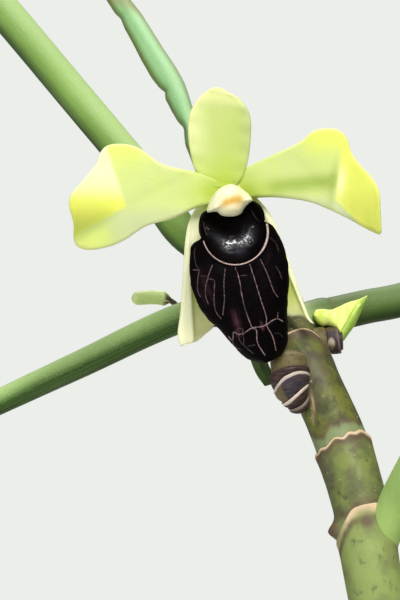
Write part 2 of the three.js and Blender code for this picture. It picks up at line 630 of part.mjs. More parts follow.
place('pot', makePot(), looks.clay);
place('shoot_1', makeFloweringShoot(), looks.shoot);
Object.entries(shootRules).forEach(([name, rule], i) => {
  place(name, makeRuledShoot(rule, i + 1), looks.shoot);
});
Object.entries(freeRoots).forEach(([name, [radius, route]]) => {
  place(name, makeRoot(route, radius), looks.root);
});
Object.entries(mixRoots).forEach(([name, route]) => {
  place(name, makeRoot(route, rootRadius), looks.root);
});
place('potting_mix', makeMix(), looks.bark);
place('sepals_petals', makePerianth(), looks.petal);
place('lip', makeLip(), looks.lip);
place('column', puffed(columnOutline, columnStations, 14), looks.cap);
place('inflorescence_1', makeSpike(leftSpike), looks.bract);
place('inflorescence_2', makeSpike(rightSpike), looks.bract);
const budSections = budStations.map(([share, depth]) => [share, depth + budDepth]);
place('bud', puffed(budOutline, budSections, 18), looks.bud);

export default part;
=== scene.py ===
import math

import bpy
import numpy as np
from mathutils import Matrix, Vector


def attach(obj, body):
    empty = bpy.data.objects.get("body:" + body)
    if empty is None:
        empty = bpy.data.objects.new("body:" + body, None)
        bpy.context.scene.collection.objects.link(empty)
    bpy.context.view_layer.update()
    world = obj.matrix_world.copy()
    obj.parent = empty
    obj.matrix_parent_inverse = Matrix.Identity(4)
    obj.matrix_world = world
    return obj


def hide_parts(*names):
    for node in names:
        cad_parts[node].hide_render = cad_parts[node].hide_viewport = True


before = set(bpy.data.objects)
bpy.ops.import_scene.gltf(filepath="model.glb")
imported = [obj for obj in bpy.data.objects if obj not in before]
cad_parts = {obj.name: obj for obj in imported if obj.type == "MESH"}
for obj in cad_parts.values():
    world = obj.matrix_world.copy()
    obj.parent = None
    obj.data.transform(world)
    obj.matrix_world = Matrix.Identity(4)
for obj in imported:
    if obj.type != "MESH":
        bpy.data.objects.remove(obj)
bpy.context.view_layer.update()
print("frame loaded:", len(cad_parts), "nodes")

# Sizes and routes below are in millimetres; a mesh is written in metres.
mm = 0.001
viewer = (0, -1, 0)          # the side that the open bloom faces
bloomCentre = np.array([-62, -34, 215])


# Numbers and curves

def scatter(n):
    # A steady number from 0 to 1 for each n: the fraction of a very large sine.
    wide = np.sin(np.asarray(n, float) * 12.9898) * 43758.5453
    return wide - np.floor(wide)


def between(first, second, share):
    return first + (second - first) * share


def ramp(x, low, high):
    # 0 below low, 1 above high, and a smooth step between them.
    share = np.clip((x - low) / (high - low), 0, 1)
    return share * share * (3 - 2 * share)


def hump(x, middle, width):
    # A bell of height 1.
    return np.exp(-((x - middle) / width) ** 2)


def roundEdge(x):
    # A quarter circle that rises from 0 at x = 0 to 1 at x = 1.
    return np.sqrt(np.clip(1 - (1 - np.clip(x, 0, 1)) ** 2, 0, 1))


def circle(turns, reach=1.0):
    # Each angle's place on a circle, which also lets noise round a tube close on itself.
    return reach * np.cos(turns), reach * np.sin(turns)


def ripple(seed, *axes):
    # Soft steady noise about 0: five sines along seeded directions, each finer and weaker.
    total = 0
    for k in range(5):
        turns = [2 * scatter(seed + 3.1 * k + 17 * i) - 1 for i in range(len(axes))]
        swing = sum(turn * axis for turn, axis in zip(turns, axes))
        total = total + np.sin(1.9 ** k * swing + 6.28 * scatter(seed + 7.7 * k)) / 1.6 ** k
    return total / 2


def curveAt(points, shares):
    # Centripetal Catmull-Rom curve through the points; the shares 0 to 1 run over its spans.
    points = np.asarray(points, float)
    held = np.vstack([2 * points[0] - points[1], points, 2 * points[-1] - points[-2]])
    place = np.clip(shares, 0, 1) * (len(points) - 1)
    span = np.minimum(place.astype(int), len(points) - 2)
    t = (place - span)[:, None]
    a, b, c, d = (held[span + k] for k in range(4))
    gapAB, gapBC, gapCD = (
        np.maximum(np.linalg.norm(q - p, axis=1), 1e-9)[:, None] ** 0.5
        for p, q in ((a, b), (b, c), (c, d))
    )
    slopeB = ((b - a) / gapAB - (c - a) / (gapAB + gapBC) + (c - b) / gapBC) * gapBC
    slopeC = ((c - b) / gapBC - (d - b) / (gapBC + gapCD) + (d - c) / gapCD) * gapBC
    square = -3 * b + 3 * c - 2 * slopeB - slopeC
    cube = 2 * b - 2 * c + slopeB + slopeC
    return b + slopeB * t + square * t ** 2 + cube * t ** 3


def measured(points):
    # Shares of the curve with the distance along it at each.
    shares = np.linspace(0, 1, 60 * (len(points) - 1) + 1)
    places = curveAt(points, shares)
    steps = np.linalg.norm(np.diff(places, axis=0), axis=1)
    return shares, places, np.concatenate([[0], np.cumsum(steps)])


def routeLength(points):
    return measured(points)[2][-1]


def distanceAtHeight(points, height):
    _, places, lengths = measured(points)
    return np.interp(height, places[:, 2], lengths)


def spaced(points, shares):
    # Points of the curve at equal steps of its length.
    at, _, lengths = measured(points)
    return curveAt(points, np.interp(np.asarray(shares) * lengths[-1], lengths, at))


def routeAt(points, distances):
    # The centre and the unit direction of a route at each distance along it.
    at, _, lengths = measured(points)
    share = np.interp(distances, lengths, at)
    step = 1e-4
    ahead = curveAt(points, np.minimum(share + step, 1))
    behind = curveAt(points, np.maximum(share - step, 0))
    along = ahead - behind
    return curveAt(points, share), along / np.linalg.norm(along, axis=1)[:, None]


# Closed surfaces: points on a grid, with their faces and what the finishes read from each point

def gridQuads(rows, columns):
    # Quads between neighbouring rows of rings that close on themselves.
    i, j = np.meshgrid(np.arange(rows - 1), np.arange(columns), indexing="ij")
    k = (j + 1) % columns
    corners = [i * columns + j, i * columns + k, (i + 1) * columns + k, (i + 1) * columns + j]
    return np.stack(corners, -1).reshape(-1, 4)


def ringed(rings, fields=None):
    # A grid of rings, with a fan of triangles to a middle point at each end.
    rows, columns = rings.shape[:2]
    points = np.vstack([rings.reshape(-1, 3), rings[0].mean(0), rings[-1].mean(0)])
    j = np.arange(columns)
    k = (j + 1) % columns
    last = (rows - 1) * columns
    middle = np.full(columns, rows * columns)
    fans = [np.stack([k, j, middle], 1), np.stack([j + last, k + last, middle + 1], 1)]
    values = {}
    for name, field in (fields or {}).items():
        whole = np.broadcast_to(field, (rows, columns))
        values[name] = np.concatenate([whole.ravel(), [whole[0].mean(), whole[-1].mean()]])
    return {"points": points, "quads": gridQuads(rows, columns), "tris": np.vstack(fans),
            "fields": values}


def slab(front, back, fields=None):
    # A closed sheet. Its front and back are grids that share their left and right edges;
    # a strip of faces closes each end.
    rows, columns = front.shape[:2]
    loop = np.concatenate([front, back[:, -2:0:-1]], axis=1)
    around = loop.shape[1]
    j = np.arange(columns - 1)
    under = (around - np.arange(columns)) % around
    last = (rows - 1) * around
    strip = np.stack([j + 1, j, under[:-1], under[1:]], 1)
    inner = np.vstack([strip[1:-1], strip[1:-1, ::-1] + last])
    near = np.array([[1, 0, under[1]], [columns - 1, columns - 2, under[columns - 2]]])
    quads = np.vstack([gridQuads(rows, around), inner])
    values = {}
    for name, field in (fields or {}).items():
        whole = np.broadcast_to(field, (rows, columns))
        values[name] = np.concatenate([whole, whole[:, -2:0:-1]], axis=1).ravel()
    return {"points": loop.reshape(-1, 3), "quads": quads,
            "tris": np.vstack([near, near[:, ::-1] + last]), "fields": values}


def facesOut(part):
    # The signed volume of a closed surface is positive where its faces point out.
    points = part["points"] - part["points"].mean(0)
    quads = part["quads"]
    tris = np.vstack([quads[:, [0, 1, 2]], quads[:, [0, 2, 3]], part["tris"]])
    a, b, c = (points[tris[:, k]] for k in range(3))
    return np.einsum("ij,ij->", a, np.cross(b, c)) > 0


def makePiece(name, parts, finish, slot, *nodes, crease=40):
    # Writes closed surfaces into one mesh object that stands for the given CAD nodes.
    points = np.vstack([part["points"] for part in parts]) * mm
    starts = np.cumsum([0] + [len(part["points"]) for part in parts])
    quads, tris = [], []
    for part, start in zip(parts, starts):
        step = 1 if facesOut(part) else -1
        quads.append(part["quads"][:, ::step] + start)
        tris.append(part["tris"][:, ::step] + start)
    quads, tris = np.vstack(quads), np.vstack(tris)
    loops = np.concatenate([quads.ravel(), tris.ravel()])
    sizes = np.concatenate([np.full(len(quads), 4), np.full(len(tris), 3)])
    mesh = bpy.data.meshes.new(name)
    mesh.vertices.add(len(points))
    mesh.vertices.foreach_set("co", points.astype(np.float32).ravel())
    mesh.loops.add(len(loops))
    mesh.loops.foreach_set("vertex_index", loops.astype(np.int32))
    mesh.polygons.add(len(sizes))
    mesh.polygons.foreach_set("loop_start", (np.cumsum(sizes) - sizes).astype(np.int32))
    mesh.update(calc_edges=True)
    mesh.validate()
    mesh.polygons.foreach_set("use_smooth", np.ones(len(mesh.polygons), bool))
    mesh.set_sharp_from_angle(angle=math.radians(crease))
    for field in sorted({field for part in parts for field in part["fields"]}):
        values = [part["fields"].get(field, np.zeros(len(part["points"]))) for part in parts]
        attribute = mesh.attributes.new(field, "FLOAT", "POINT")
        attribute.data.foreach_set("value", np.concatenate(values).astype(np.float32))
    piece = bpy.data.objects.new(name, mesh)
    scene.collection.objects.link(piece)
    mesh.materials.append(finish)
    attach(piece, "root")
    if nodes:
        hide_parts(*nodes)
    return piece


# Roughly the direction of the key lamp: a tube's sky field says how far each point faces it, and the leaves
# paint light and shade from it.
skyDirection = np.array([0.22, -0.42, 0.88])


def tube(route, distances, angles, radii, facing, fields=None):
    # Rings round a route. distances and radii are rows by columns; angle 0 looks along facing
    # and a quarter turn on is to its right when the route climbs.
    shape = np.broadcast(distances, radii, angles).shape
    distances, radii, angles = (np.broadcast_to(a, shape) for a in (distances, radii, angles))
    centre, along = routeAt(route, distances.ravel())
    front = np.asarray(facing, float) - along * (along @ np.asarray(facing, float))[:, None]
    front /= np.linalg.norm(front, axis=1)[:, None]
    side = np.cross(along, front)
    reach = front * np.cos(angles).reshape(-1, 1) + side * np.sin(angles).reshape(-1, 1)
    rings = centre + reach * radii.reshape(-1, 1)
    skyward = {"sky": (0.5 + 0.5 * reach @ skyDirection).reshape(shape)}
    return ringed(rings.reshape(*shape, 3), {**skyward, **(fields or {})})


def turnsRound(columns):
    # Angles round a tube, starting at the side that faces away.
    return -math.pi + np.arange(columns) * 2 * math.pi / columns


def paint(red, green, blue):
    # An sRGB colour from 0 to 255, as linear red, green, blue and alpha.
    shares = [channel / 255 for channel in (red, green, blue)]
    linear = [c / 12.92 if c <= 0.04045 else ((c + 0.055) / 1.055) ** 2.4 for c in shares]
    return (*linear, 1.0)


class Wires:
    # Adds nodes to one tree and joins or fills their inputs.

    def __init__(self, tree):
        self.tree = tree

    def fill(self, socket, value):
        if isinstance(value, bpy.types.NodeSocket):
            self.tree.links.new(value, socket)
        else:
            socket.default_value = value

    def add(self, kind, inputs=None, **settings):
        node = self.tree.nodes.new("ShaderNode" + kind)
        for name, value in settings.items():
            setattr(node, name, value)
        for name, value in (inputs or {}).items():
            self.fill(node.inputs[name], value)
        return node

    def mix(self, share, first, second):
        node = self.add("Mix", data_type="RGBA")
        for slot, value in ((0, share), (6, first), (7, second)):
            self.fill(node.inputs[slot], value)
        return node.outputs[2]

    def layers(self, base, *coats):
        # Lays coats over an sRGB colour, each as (mask, sRGB colour) or (mask, sRGB colour, its share).
        colour = paint(*base)
        for mask, tint, *share in coats:
            colour = self.mix(self.times(mask, *share) if share else mask, colour, paint(*tint))
        return colour

    def maths(self, operation, first, second):
        return self.add("Math", {0: first, 1: second}, operation=operation).outputs[0]

    def times(self, first, second):
        return self.maths("MULTIPLY", first, second)

    def remap(self, value, low, high, newLow=0.0, newHigh=1.0):
        node = self.add("MapRange", interpolation_type="SMOOTHSTEP")
        names = ("Value", "From Min", "From Max", "To Min", "To Max")
        for name, each in zip(names, (value, low, high, newLow, newHigh)):
            self.fill(node.inputs[name], each)
        return node.outputs["Result"]

    def field(self, name):
        return self.add("Attribute", attribute_name=name).outputs["Fac"]

    def effect(self, group, **inputs):
        # Places a shared effect with its own values; underscores stand for spaces.
        node = self.add("Group", node_tree=group)
        for name, value in inputs.items():
            self.fill(node.inputs[name.replace("_", " ")], value)
        return node.outputs


def newEffect(name, inputs, outputs):
    # An empty shared effect: a shader group with named inputs and outputs.
    tree = bpy.data.node_groups.new(name, "ShaderNodeTree")
    for label, kind, value in inputs:
        socket = tree.interface.new_socket(name=label, in_out="INPUT", socket_type="NodeSocket" + kind)
        if value is not None:
            socket.default_value = value
    for label, kind in outputs:
        tree.interface.new_socket(name=label, in_out="OUTPUT", socket_type="NodeSocket" + kind)
    entry = tree.nodes.new("NodeGroupInput").outputs
    leave = tree.nodes.new("NodeGroupOutput").inputs
    return tree, Wires(tree), entry, leave


def makePatches():
    # Soft patches: noise, with what lies between Low and High stretched to 0 to 1.
    tree, wires, entry, leave = newEffect(
        "softPatches",
        [("Place", "Vector", None), ("Scale", "Float", 500.0), ("Detail", "Float", 4.0),
         ("Low", "Float", 0.4), ("High", "Float", 0.6)],
        [("Mask", "Float"), ("Height", "Float")])
    noise = wires.add("TexNoise", {"Vector": entry["Place"], "Scale": entry["Scale"],
                                   "Detail": entry["Detail"], "Roughness": 0.6})
    spread = wires.remap(noise.outputs["Fac"], entry["Low"], entry["High"])
    wires.fill(leave["Mask"], spread)
    wires.fill(leave["Height"], noise.outputs["Fac"])
    return tree


def makeDots():
    # Scattered dots: a dot of Size in the middle of each cell whose own number is below Share.
    tree, wires, entry, leave = newEffect(
        "scatteredDots",
        [("Place", "Vector", None), ("Scale", "Float", 4000.0), ("Size", "Float", 0.3),
         ("Share", "Float", 0.5)],
        [("Mask", "Float")])
    cells = wires.add("TexVoronoi", {"Vector": entry["Place"], "Scale": entry["Scale"]})
    core = wires.times(entry["Size"], 0.5)
    inside = wires.remap(cells.outputs["Distance"], entry["Size"], core)
    number = wires.add("SeparateColor", {"Color": cells.outputs["Color"]}).outputs["Red"]
    kept = wires.maths("LESS_THAN", number, entry["Share"])
    wires.fill(leave["Mask"], wires.times(inside, kept))
    return tree


def makeStreaks():
    # Fine lines along a piece: noise stretched along it, from the piece's own along and across.
    tree, wires, entry, leave = newEffect(
        "fineStreaks",
        [("Along", "Float", 0.0), ("Across", "Float", 0.0), ("Stretch", "Float", 0.1),
         ("Lines", "Float", 10.0), ("Low", "Float", 0.4), ("High", "Float", 0.6)],
        [("Mask", "Float"), ("Height", "Float")])
    place = wires.add("CombineXYZ", {"X": wires.times(entry["Along"], entry["Stretch"]),
                                     "Y": wires.times(entry["Across"], entry["Lines"])})
    noise = wires.add("TexNoise", {"Vector": place.outputs[0], "Scale": 1.0, "Detail": 3.0})
    wires.fill(leave["Mask"], wires.remap(noise.outputs["Fac"], entry["Low"], entry["High"]))
    wires.fill(leave["Height"], noise.outputs["Fac"])
    return tree


def newFinish(name, **constants):
    # A material with a Principled shader; what is the same all over is set on its sockets.
    finish = bpy.data.materials.new(name)
    finish.use_nodes = True
    wires = Wires(finish.node_tree)
    shader = finish.node_tree.nodes["Principled BSDF"]
    for socket, value in constants.items():
        shader.inputs[socket.replace("_", " ")].default_value = value
    place = wires.add("TexCoord").outputs["Object"]
    return finish, wires, shader, place


def surfaced(wires, shader, colour, roughness, height, distance, strength=1.0):
    # Feeds the shader its colour and roughness, and bends its normal by a height; distance is in mm.
    wires.fill(shader.inputs["Base Color"], colour)
    wires.fill(shader.inputs["Roughness"], roughness)
    bump = wires.add("Bump", {"Height": height, "Distance": distance * mm, "Strength": strength})
    wires.fill(shader.inputs["Normal"], bump.outputs["Normal"])


scene = bpy.context.scene
softPatches = makePatches()
scatteredDots = makeDots()
fineStreaks = makeStreaks()

# Camera, light and floor

studio = {
    "camera": (-65, -354, 204),
    "lens": 192,
    "background": (236, 238, 234),
    "ambient": 0.18,
    "lights": {
        # name: place, aim, size in mm, power in W, colour
        "key": ((60, -500, 660), (-60, -30, 205), 260, 4.7, (1.0, 0.985, 0.95)),
        "fill": ((-620, -560, 300), (-60, -30, 190), 500, 1.5, (0.95, 0.98, 1.0)),
        "top": ((-120, 330, 760), (-40, 0, 150), 420, 2.4, (1.0, 1.0, 1.0)),
    },
    "floorRadius": 1700,
    "floorFade": 350,
    "floorShades": ((232, 233, 229), (238, 239, 236)),
}


def makeCamera():
    lens = bpy.data.cameras.new("photoCamera")
    lens.lens = studio["lens"]
    lens.sensor_width = 36
    lens.clip_start = 0.01
    camera = bpy.data.objects.new("photoCamera", lens)
    camera.location = Vector(studio["camera"]) * mm
    camera.rotation_euler = (math.pi / 2, 0, 0)
    scene.collection.objects.link(camera)
    scene.camera = camera


def makeLights():
    for name, (place, aim, size, power, colour) in studio["lights"].items():
        light = bpy.data.lights.new(name, "AREA")
        light.size = size * mm
        light.energy = power
        light.color = colour
        lamp = bpy.data.objects.new(name, light)
        lamp.location = Vector(place) * mm
        lamp.rotation_euler = (Vector(aim) - Vector(place)).to_track_quat("-Z", "Y").to_euler()
        lamp.visible_camera = False
        scene.collection.objects.link(lamp)


def makeBackground():
    # The camera sees one plain pale colour; the plant is lit by a weaker, even light.
    world = bpy.data.worlds.new("paleRoom")
    scene.world = world
    world.use_nodes = True
    wires = Wires(world.node_tree)
    seen = world.node_tree.nodes["Background"]
    seen.inputs["Color"].default_value = paint(*studio["background"])
    lit = wires.add("Background", {"Color": (1, 1, 1, 1), "Strength": studio["ambient"]})
    blend = wires.add("MixShader", {0: wires.add("LightPath").outputs["Is Camera Ray"]})
    wires.fill(blend.inputs[1], lit.outputs[0])
    wires.fill(blend.inputs[2], seen.outputs[0])
    wires.fill(world.node_tree.nodes["World Output"].inputs["Surface"], blend.outputs[0])


def makeFloor():
    # A wide pale disc of rings round a middle point, whose edge melts into the background.
    finish, wires, shader, place = newFinish("paleFloor", Roughness=0.9)
    shade = wires.effect(softPatches, Place=place, Scale=12.0, Low=0.3, High=0.7)["Mask"]
    plain, paler = studio["floorShades"]
    wires.fill(shader.inputs["Base Color"], wires.layers(plain, (shade, paler)))
    flat = wires.add("VectorMath", {0: place}, operation="LENGTH").outputs["Value"]
    fade = wires.remap(flat, studio["floorFade"] * mm, studio["floorRadius"] * mm, 1.0, 0.0)
    wires.fill(shader.inputs["Alpha"], fade)
    turns = np.linspace(0, 2 * math.pi, 97)[:-1]
    reach = np.array([200, 350, 700, 1050, 1400, studio["floorRadius"]])[:, None] * mm
    rings = np.stack([*circle(turns, reach), 0 * reach * turns], -1)
    points = np.vstack([[[0, 0, 0]], rings.reshape(-1, 3)])
    count = len(turns)
    fan = [[0, 1 + k, 1 + (k + 1) % count] for k in range(count)]
    quads = gridQuads(len(reach), count) + 1
    mesh = bpy.data.meshes.new("floor")
    mesh.from_pydata(points.tolist(), [], fan + quads.tolist())
    mesh.materials.append(finish)
    floor = bpy.data.objects.new("floor", mesh)
    floor.location.z = -0.05 * mm
    scene.collection.objects.link(floor)


makeCamera()
makeLights()
makeBackground()
makeFloor()
scene.view_settings.view_transform = "Standard"
print("camera, lights and floor made")

# Pot: a lathe turned clay pot with a banded rim and drain holes

pot = {
    "height": 95, "footRadius": 37, "bandRadius": 55, "bandHeight": 18, "bandStep": 3,
    "wall": 5, "floor": 7, "edge": 1.2,
    "holes": 4, "holeRadius": 4.5, "holeRing": 21,
    "sides": 192, "spacing": 2, "wobble": 0.12, "rings": 0.05,
    # heights from which lime thickens to the band's top and to the foot, and from which damp deepens
    "limeBand": (74, 94), "limeFoot": (22, 2), "dampFoot": (62, 18),
    "clay": (186, 106, 72), "paleClay": (212, 150, 118), "lime": (226, 212, 196), "damp": (128, 68, 46),
    "pit": (96, 52, 36),
}


def innerRadius(z):
    # The inner wall is a straight slope from the floor's edge to the mouth.
    foot = pot["footRadius"] - pot["wall"]
    mouth = pot["bandRadius"] - pot["bandStep"] - pot["wall"]
    return between(foot, mouth, (z - pot["floor"]) / (pot["height"] - pot["floor"]))


def potFinish():
    # Matt clay in two tones, damp toward the foot, with small pits and a crust of lime.
    finish, wires, shader, place = newFinish("firedClay")
    grain = wires.effect(softPatches, Place=place, Scale=900.0, Low=0.35, High=0.65)
    cloud = wires.effect(softPatches, Place=place, Scale=45.0, Low=0.38, High=0.66)["Mask"]
    crust = wires.effect(softPatches, Place=place, Scale=110.0, Detail=8.0, Low=0.47, High=0.62)["Mask"]
    pits = wires.effect(scatteredDots, Place=place, Scale=700.0, Size=0.26, Share=0.18)["Mask"]
    height = wires.add("SeparateXYZ", {0: place}).outputs["Z"]
    bandEdge, footEdge, dampness = (
        wires.remap(height, pot[zone][0] * mm, pot[zone][1] * mm, least, most)
        for zone, least, most in (("limeBand", 0.15, 0.75), ("limeFoot", 0.0, 0.8), ("dampFoot", 0.0, 0.45)))
    limed = wires.times(crust, wires.maths("MAXIMUM", bandEdge, footEdge))
    colour = wires.layers(
        pot["clay"], (cloud, pot["paleClay"]), (grain["Mask"], pot["damp"], 0.3), (dampness, pot["damp"]),
        (limed, pot["lime"], 0.75), (pits, pot["pit"], 0.5))
    relief = wires.maths("SUBTRACT", grain["Height"], wires.times(pits, 0.8))
    surfaced(wires, shader, colour, wires.remap(limed, 0.0, 1.0, 0.78, 0.95), relief, 0.25, 0.6)
    return finish


def potProfile():
    # The wall's section as [radius, height], with its corners rounded by short arcs.
    height, band, edge = pot["height"], pot["bandRadius"], pot["edge"]
    bandFoot = height - pot["bandHeight"]
    corners = [
        (0.5, 0, 0), (pot["footRadius"], 0, edge), (band - pot["bandStep"] - edge, bandFoot, 0.5),
        (band - 0.4, bandFoot, 0.8), (band, height, edge), (innerRadius(height), height, edge),
        (innerRadius(pot["floor"]), pot["floor"], 1.5), (0.5, pot["floor"], 0),
    ]
    section = [corners[0][:2]]
    for before, corner, after in zip(corners, corners[1:], corners[2:]):
        here = np.array(corner[:2], float)
        toBefore = np.array(before[:2]) - here
        toAfter = np.array(after[:2]) - here
        start = here + toBefore / np.linalg.norm(toBefore) * corner[2]
        end = here + toAfter / np.linalg.norm(toAfter) * corner[2]
        for t in np.linspace(0, 1, 6):
            section.append(tuple((1 - t) ** 2 * start + 2 * t * (1 - t) * here + t * t * end))
    section.append(corners[-1][:2])
    spots = np.array(section)
    steps = np.linalg.norm(np.diff(spots, axis=0), axis=1)
    lengths = np.concatenate([[0], np.cumsum(steps)])
    even = np.unique(np.concatenate([lengths, np.arange(0, lengths[-1], pot["spacing"])]))
    return np.interp(even, lengths, spots[:, 0]), np.interp(even, lengths, spots[:, 1])


def makePot():
    # The section turned round, with faint throwing rings and a slow wobble from the drying clay.
    radius, height = (values[:, None] for values in potProfile())
    turns = turnsRound(pot["sides"])
    wobble = pot["wobble"] * (ripple(5, *circle(turns, 2), height / 18) - 1)
    rings = pot["rings"] * (np.sin(height * 2.1 + 1.5 * np.sin(turns)) - 1)
    reach = radius + (wobble + rings) * ramp(radius, 20, 30) * ramp(height, 1, 4)
    body = np.stack([*circle(turns, reach), height + 0 * turns], -1)
    piece = makePiece("clay_pot", [ringed(body)], potFinish(), "clay", "pot", crease=50)
    turns = turnsRound(32)
    rise = np.array([[-10], [20]]) + 0 * turns
    cutters = []
    for k in range(pot["holes"]):
        centre = circle(2 * math.pi * (k + 0.5) / pot["holes"], pot["holeRing"])
        x, y = (at + each for at, each in zip(centre, circle(turns, pot["holeRadius"])))
        cutters.append(ringed(np.stack(np.broadcast_arrays(x, y, rise), -1)))
    cutter = makePiece("drill", cutters, piece.data.materials[0], "clay")
    cut = piece.modifiers.new("drainHoles", "BOOLEAN")
    cut.operation = "DIFFERENCE"
    cut.solver = "EXACT"
    cut.object = cutter
    bpy.context.view_layer.update()
    drilled = piece.evaluated_get(bpy.context.evaluated_depsgraph_get())
    finished = bpy.data.meshes.new_from_object(drilled)
    piece.modifiers.clear()
    piece.data = finished
    finished.set_sharp_from_angle(angle=math.radians(50))
    bpy.data.objects.remove(cutter)


makePot()
print("pot made")

# Potting mix: a bed that fills the pot under coarse bark chips on a sunflower spiral

mix = {
    "bottom": 7.3, "level": 82, "top": 93, "clearance": 0.3, "seed": 300,
    # rows and columns of the bed's bottom, side and top, and of one chip of each kind
    "bedRows": (14, 6, 40), "bedColumns": 96,
    "large": {"count": 46, "size": (15, 10, 5), "tilt": 0.35, "grid": (12, 20)},
    "small": {"count": 260, "size": (7, 4.5, 2.6), "tilt": 0.8, "grid": (6, 12)},
    "dark": (52, 32, 22), "mid": (104, 68, 44), "pale": (158, 118, 84), "grey": (132, 120, 106),
}
goldenAngle = 2.39996


def barkFinish():
    # Layered browns that differ from chip to chip, with pale layers and grey dust.
    finish, wires, shader, place = newFinish("barkChips")
    lines = wires.effect(fineStreaks, Along=wires.field("along"), Across=wires.field("grain"),
                         Stretch=0.35, Lines=5.0, Low=0.35, High=0.65)
    patches = wires.effect(softPatches, Place=place, Scale=420.0, Low=0.4, High=0.62)
    dust = wires.effect(softPatches, Place=place, Scale=1600.0, Low=0.55, High=0.7)["Mask"]
    colour = wires.layers(
        mix["dark"], (wires.field("tone"), mix["mid"]), (lines["Mask"], mix["pale"], 0.5),
        (patches["Mask"], mix["dark"], 0.45), (dust, mix["grey"], 0.35))
    relief = wires.maths("ADD", lines["Height"], wires.times(patches["Height"], 0.8))
    surfaced(wires, shader, colour, wires.remap(patches["Mask"], 0.0, 1.0, 0.8, 0.97), relief, 0.5)
    return finish


def squared(wave, power):
    # A sine or cosine pressed toward -1 and 1, which squares a round form.
    return np.sign(wave) * np.abs(wave) ** power


def chips(kind, keys, draws, reach, turn, lift):
    # Rounded boxes on a grid of latitudes and longitudes, all at once: each point's place in the
    # unit box is pushed out by its corner factors, roughened, tilted, turned and set down.
    size, (rows, columns) = kind["size"], kind["grid"]
    lat = np.linspace(-math.pi / 2, math.pi / 2, rows + 2)[1:-1, None]
    lon = turnsRound(columns)
    boxX = squared(np.cos(lat), 0.3) * squared(np.cos(lon), 0.45)
    boxY = squared(np.cos(lat), 0.3) * squared(np.sin(lon), 0.45)
    boxZ = squared(np.sin(lat), 0.55) + 0 * lon
    unit = np.stack([boxX, boxY, boxZ], -1)[None]
    factors = ((0.7, 0.5, 21.1), (0.6, 0.6, 0.2), (0.8, 0.4, 0.3))  # least, spread and key of each axis
    share = (unit + 1) / 2
    shaped = np.zeros((kind["count"], *unit.shape[1:]))
    for axis, (least, spread, shift) in enumerate(factors):
        grown = 0
        for corner in range(8):
            picks = [corner & 1, corner >> 1 & 1, corner >> 2 & 1]
            weight = np.prod([share[..., k] if pick else 1 - share[..., k]
                              for k, pick in enumerate(picks)], axis=0)
            factor = least + spread * scatter(keys * 8 + corner + shift)
            grown = grown + weight * factor[:, None, None]
        shaped[..., axis] = unit[..., axis] * size[axis] / 2 * grown
    x, y, z = (shaped[..., k] for k in range(3))
    rough = 0.05 * size[2] * ripple(3, x * 0.9 + keys[:, None, None], y * 1.1, z * 1.4)
    layered = 0.035 * size[2] * np.sign(ripple(8, z * 3.2 + keys[:, None, None], x * 0.3))
    z = z + rough
    x = x + rough + layered
    y = y + rough * 0.8 + layered
    tiltX, tiltY = ((2 * scatter(draws + shift) - 1)[:, None, None] * kind["tilt"] for shift in (0.4, 0.5))
    spin = scatter(draws + 0.6)[:, None, None] * math.pi
    y, z = y * np.cos(tiltX) - z * np.sin(tiltX), y * np.sin(tiltX) + z * np.cos(tiltX)
    x, z = x * np.cos(tiltY) + z * np.sin(tiltY), z * np.cos(tiltY) - x * np.sin(tiltY)
    x, y = x * np.cos(spin) - y * np.sin(spin), x * np.sin(spin) + y * np.cos(spin)
    placed = np.stack([x, y, z], -1) + np.stack([*circle(turn, reach), lift], -1)[:, None, None, :]
    # Nothing passes the pot's inner wall or the heap's top.
    limit = innerRadius(placed[..., 2]) - mix["clearance"]
    outward = np.hypot(placed[..., 0], placed[..., 1])
    placed[..., :2] *= np.minimum(1, limit / np.maximum(outward, 1e-6))[..., None]
    placed[..., 2] = np.minimum(placed[..., 2], mix["top"] - 3)
    parts = []
    for k, key in enumerate(keys):
        fields = {"along": shaped[k, ..., 0], "grain": shaped[k, ..., 2] + 3 * k,
                  "tone": np.full(shaped.shape[1:3], scatter(key * 1.7 + 5))}
        parts.append(ringed(placed[k], fields))
    return parts


def makeMix():
    # Large chips on a sunflower spiral, small ones scattered among them, and the bed under them.
    level, clearance = mix["level"], mix["clearance"]
    number = np.arange(mix["large"]["count"])
    reach = (innerRadius(level) - clearance - 2) * np.sqrt((number + 0.5) / len(number))
    lift = level + 2 * scatter(number + mix["seed"] + 0.7) - clearance
    large = chips(mix["large"], number, number + mix["seed"], reach, number * goldenAngle, lift)
    number = np.arange(mix["small"]["count"]) + 1000
    reach = (innerRadius(level) - 2.5) * np.sqrt(scatter(number * 1.3))
    lift = level + 0.6 + 3.2 * scatter(number * 0.7)
    small = chips(mix["small"], number, number, reach, 2 * math.pi * scatter(number * 2.1), lift)
    # The bed's side and bottom follow the pot's inside; its top is rough.
    turns = turnsRound(mix["bedColumns"])
    bottom, side, top = mix["bedRows"]
    shares = np.concatenate([np.linspace(0.02, 1, bottom), np.ones(side), np.linspace(1, 0.02, top)])
    climb = np.linspace(mix["bottom"], level, side + 2)[1:-1]
    heights = np.concatenate([np.full(bottom, mix["bottom"]), climb, np.full(top, float(level))])
    shares, heights = shares[:, None], heights[:, None]
    x, y = circle(turns, (innerRadius(heights) - clearance * 3) * shares)
    bumps = 1.1 * ripple(11, x / 2.2, y / 2.2) * (heights == level) * ramp(1 - shares, 0, 0.06)
    bed = np.stack([x, y, heights + bumps + 0 * x], -1)
    fields = {"along": x, "grain": y, "tone": 0.2 + 0 * x}
    makePiece("bark_mix", [ringed(bed, fields), *large, *small], barkFinish(), "bark", "potting_mix")


makeMix()
print("potting mix made")

# Leaves and stems of the clump

